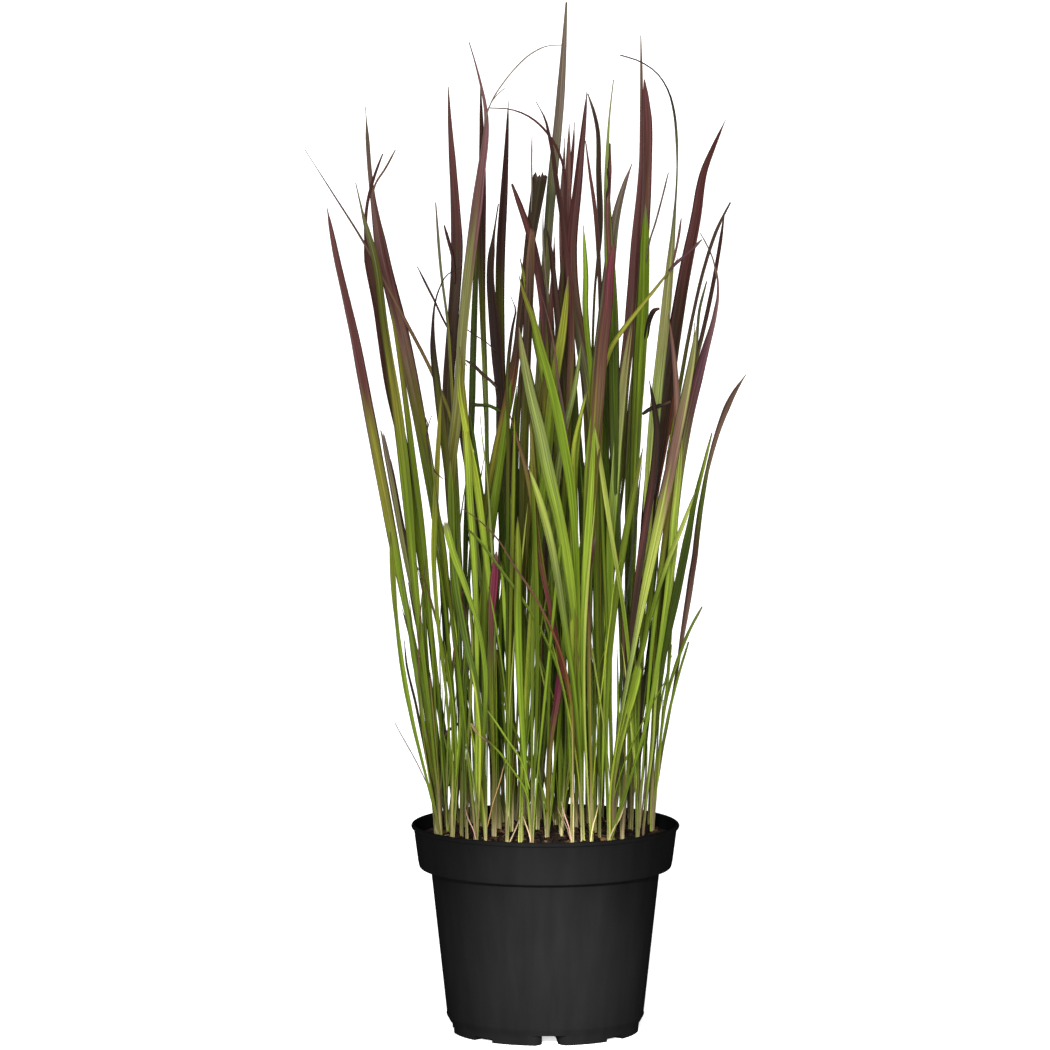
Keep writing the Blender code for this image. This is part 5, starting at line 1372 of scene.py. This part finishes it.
def rootlets(count, rng):
    # thin dry roots and straws that lie on the soil: a five-sided tube along a bent line
    stations, sides = 12, 5
    k = np.arange(sides)
    ends = np.array([[0, 2, 1], [0, 3, 2], [0, 4, 3]])
    points, faces, tones, offset = [], [], [], 0
    for _ in range(count):
        radius, angle = soil["edge"] * 0.93 * math.sqrt(rng.uniform()), rng.uniform(0, 2 * math.pi)
        length, heading, bend = rng.uniform(7.0, 26.0), rng.uniform(0, 2 * math.pi), rng.normal(0.0, 0.8)
        s = np.linspace(0.0, 1.0, stations)
        way = heading + bend * s
        x = radius * math.cos(angle) + np.cumsum(np.cos(way)) * length / stations
        y = radius * math.sin(angle) + np.cumsum(np.sin(way)) * length / stations
        keep = np.minimum(1.0, soil["edge"] * 0.96 / np.maximum(np.hypot(x, y), 1.0))
        x, y = x * keep, y * keep
        z = soilTop(x, y) + 0.5 + 1.2 * np.sin(math.pi * s) * rng.uniform(0.1, 1.0)
        path = np.column_stack([x, y, z])
        thick = rng.uniform(0.18, 0.5) * (1 - 0.6 * s)
        tangent = np.gradient(path, axis=0)
        side = np.cross(tangent, [0.0, 0.0, 1.0])
        side /= np.maximum(np.linalg.norm(side, axis=1), 1e-6)[:, None]
        turn = 2 * math.pi * k / sides
        tube = path[:, None] + thick[:, None, None] * (side[:, None] * np.cos(turn)[:, None]
                                                       + np.array([0.0, 0.0, 1.0]) * np.sin(turn)[:, None])
        start = np.arange(stations - 1)[:, None] * sides
        a, b = start + k, start + (k + 1) % sides
        skin = np.stack([a, b, b + sides, a, b + sides, a + sides], axis=-1).reshape(-1, 3)
        block = np.concatenate([skin, ends, (stations - 1) * sides + ends[:, ::-1]])
        _, block = closedFaces(tube.reshape(-1, 3), np.zeros((0, 4), int), block)
        points.append(tube.reshape(-1, 3))
        faces.append(block + offset)
        offset += stations * sides
        tones.append(np.tile(linear(rng.choice(soil["rootTones"])), (stations * sides, 1)))
    return np.concatenate(points), np.concatenate(faces), np.concatenate(tones)


def makeSoil():
    # a rough top on a bed that follows the pot's inside, with crumbs, bark chips and rootlets set in it
    material = makeSoilMaterial()
    rng = np.random.default_rng(soil["seed"])
    steps, bottom = soil["steps"], soil["bottom"]
    radius = soil["edge"] * np.linspace(0.0, 1.0, soil["rings"] + 1)[1:] ** 0.8
    angle = 2 * math.pi * np.arange(steps) / steps
    x, y = radius[:, None] * np.cos(angle), radius[:, None] * np.sin(angle)
    wall = np.array([point for point in innerProfile(gap + 0.1) if point[1] > soil["wallAbove"]]
                    + [(pot["bodyLow"] - pot["wall"] - gap, bottom)])
    wallX, wallY = wall[:, :1] * np.cos(angle), wall[:, :1] * np.sin(angle)
    wallZ = np.broadcast_to(wall[:, 1:], wallX.shape)
    rings = np.concatenate([np.stack([x, y, soilTop(x, y)], axis=-1),
                            np.stack([wallX, wallY, wallZ], axis=-1)])
    middle = np.zeros(1)
    poles = [[0.0, 0.0, float(soilTop(middle, middle)[0])], [0.0, 0.0, bottom]]
    points = np.vstack([rings.reshape(-1, 3), poles])
    quads, ends = closedFaces(points, *turnedFaces(len(rings), steps))
    tones = linear(soil["bedTone"]) * rng.uniform(0.7, 1.4, (len(points), 1))
    crumb = crumbShape()
    loose = [
        scattered(soil["crumbs"], crumb, soil["crumbTones"], soil["crumbSize"], 0.75, rng),
        scattered(soil["chips"], crumb, soil["chipTones"], soil["chipSize"], 0.3, rng, 0.2),
        rootlets(soil["rootlets"], rng),
    ]
    allPoints, allTones, allTriangles, offset = [points], [tones], [ends], len(points)
    for loosePoints, looseFaces, looseTones in loose:
        allPoints.append(loosePoints)
        allTones.append(looseTones)
        allTriangles.append(looseFaces + offset)
        offset += len(loosePoints)
    piece = newPiece("soil_crumb_surface", np.concatenate(allPoints), quads, np.concatenate(allTriangles),
                     material,
                     np.concatenate(allTones))
    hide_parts("soil")
    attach(piece, "root")


makeSoil()
say("soil")


# Studio: a plain pale floor out to the horizon, and soft suns with a pale sky
studio = {
    "floorSize": 200.0, "floorZ": -0.3, "floorGlow": 0.6, "floorTone": "ffffff", "sky": "ffffff",
    "skyStrength": 0.16,
    # a narrow beam on the middle of the pot, which leaves its sides dark
    "beamPower": 1250.0, "beamAngle": 5.2, "beamSize": 30.0, "beamPlace": (20.0, -2350.0, 900.0),
    "beamAim": (3.0, -85.0, 72.0), "beamShape": (0.8, 1.0, 1.0),
    "suns": [
        # strength, softness, elevation and azimuth in degrees; azimuth 0 is behind the camera, and more
        # is to its right
        (3.6, 14.0, 13.0, -4.0),
        (1.2, 40.0, 38.0, -14.0),
        (0.4, 60.0, 25.0, 40.0),
        (0.9, 90.0, 40.0, 180.0),
    ],
}


def makeStudio():
    material, tree, shader = newMaterial("studio_floor_matt_white")
    shader.inputs["Base Color"].default_value = colour(studio["floorTone"])
    shader.inputs["Roughness"].default_value = 1.0
    shader.inputs["Specular IOR Level"].default_value = 0.0
    shader.inputs["Emission Color"].default_value = colour("ffffff")
    shader.inputs["Emission Strength"].default_value = studio["floorGlow"]
    half = studio["floorSize"] / mm / 2
    corners = np.array([(x * half, y * half, studio["floorZ"])
                        for x, y in ((-1, -1), (1, -1), (1, 1), (-1, 1))])
    floor = newPiece("studio_floor", corners, np.array([[0, 1, 2, 3]]), np.zeros((0, 3), int), material)
    for number, (strength, softness, elevation, azimuth) in enumerate(studio["suns"]):
        lamp = bpy.data.lights.new(f"softSun{number}", "SUN")
        lamp.energy = strength
        lamp.angle = math.radians(softness)
        holder = bpy.data.objects.new(lamp.name, lamp)
        bpy.context.scene.collection.objects.link(holder)
        holder.rotation_euler = (math.radians(90.0 - elevation), 0.0, math.radians(azimuth))
    beam = bpy.data.lights.new("potBeam", "SPOT")
    beam.energy, beam.spot_blend = studio["beamPower"], 1.0
    beam.spot_size, beam.shadow_soft_size = math.radians(studio["beamAngle"]), studio["beamSize"] * mm
    holder = bpy.data.objects.new("potBeam", beam)
    bpy.context.scene.collection.objects.link(holder)
    holder.scale = studio["beamShape"]
    start, aim = np.array(studio["beamPlace"]), np.array(studio["beamAim"])
    way = aim - start
    holder.location = start * mm
    holder.rotation_euler = (math.acos(-way[2] / np.linalg.norm(way)), 0.0, math.atan2(-way[0], way[1]))
    world = bpy.data.worlds.new("paleSky")
    world.use_nodes = True
    bpy.context.scene.world = world
    sky = world.node_tree.nodes["Background"]
    sky.inputs["Color"].default_value = colour(studio["sky"])
    sky.inputs["Strength"].default_value = studio["skyStrength"]
    bpy.context.scene.view_settings.view_transform = "Standard"


makeStudio()
say("studio")

bpy.context.view_layer.update()
say("done")
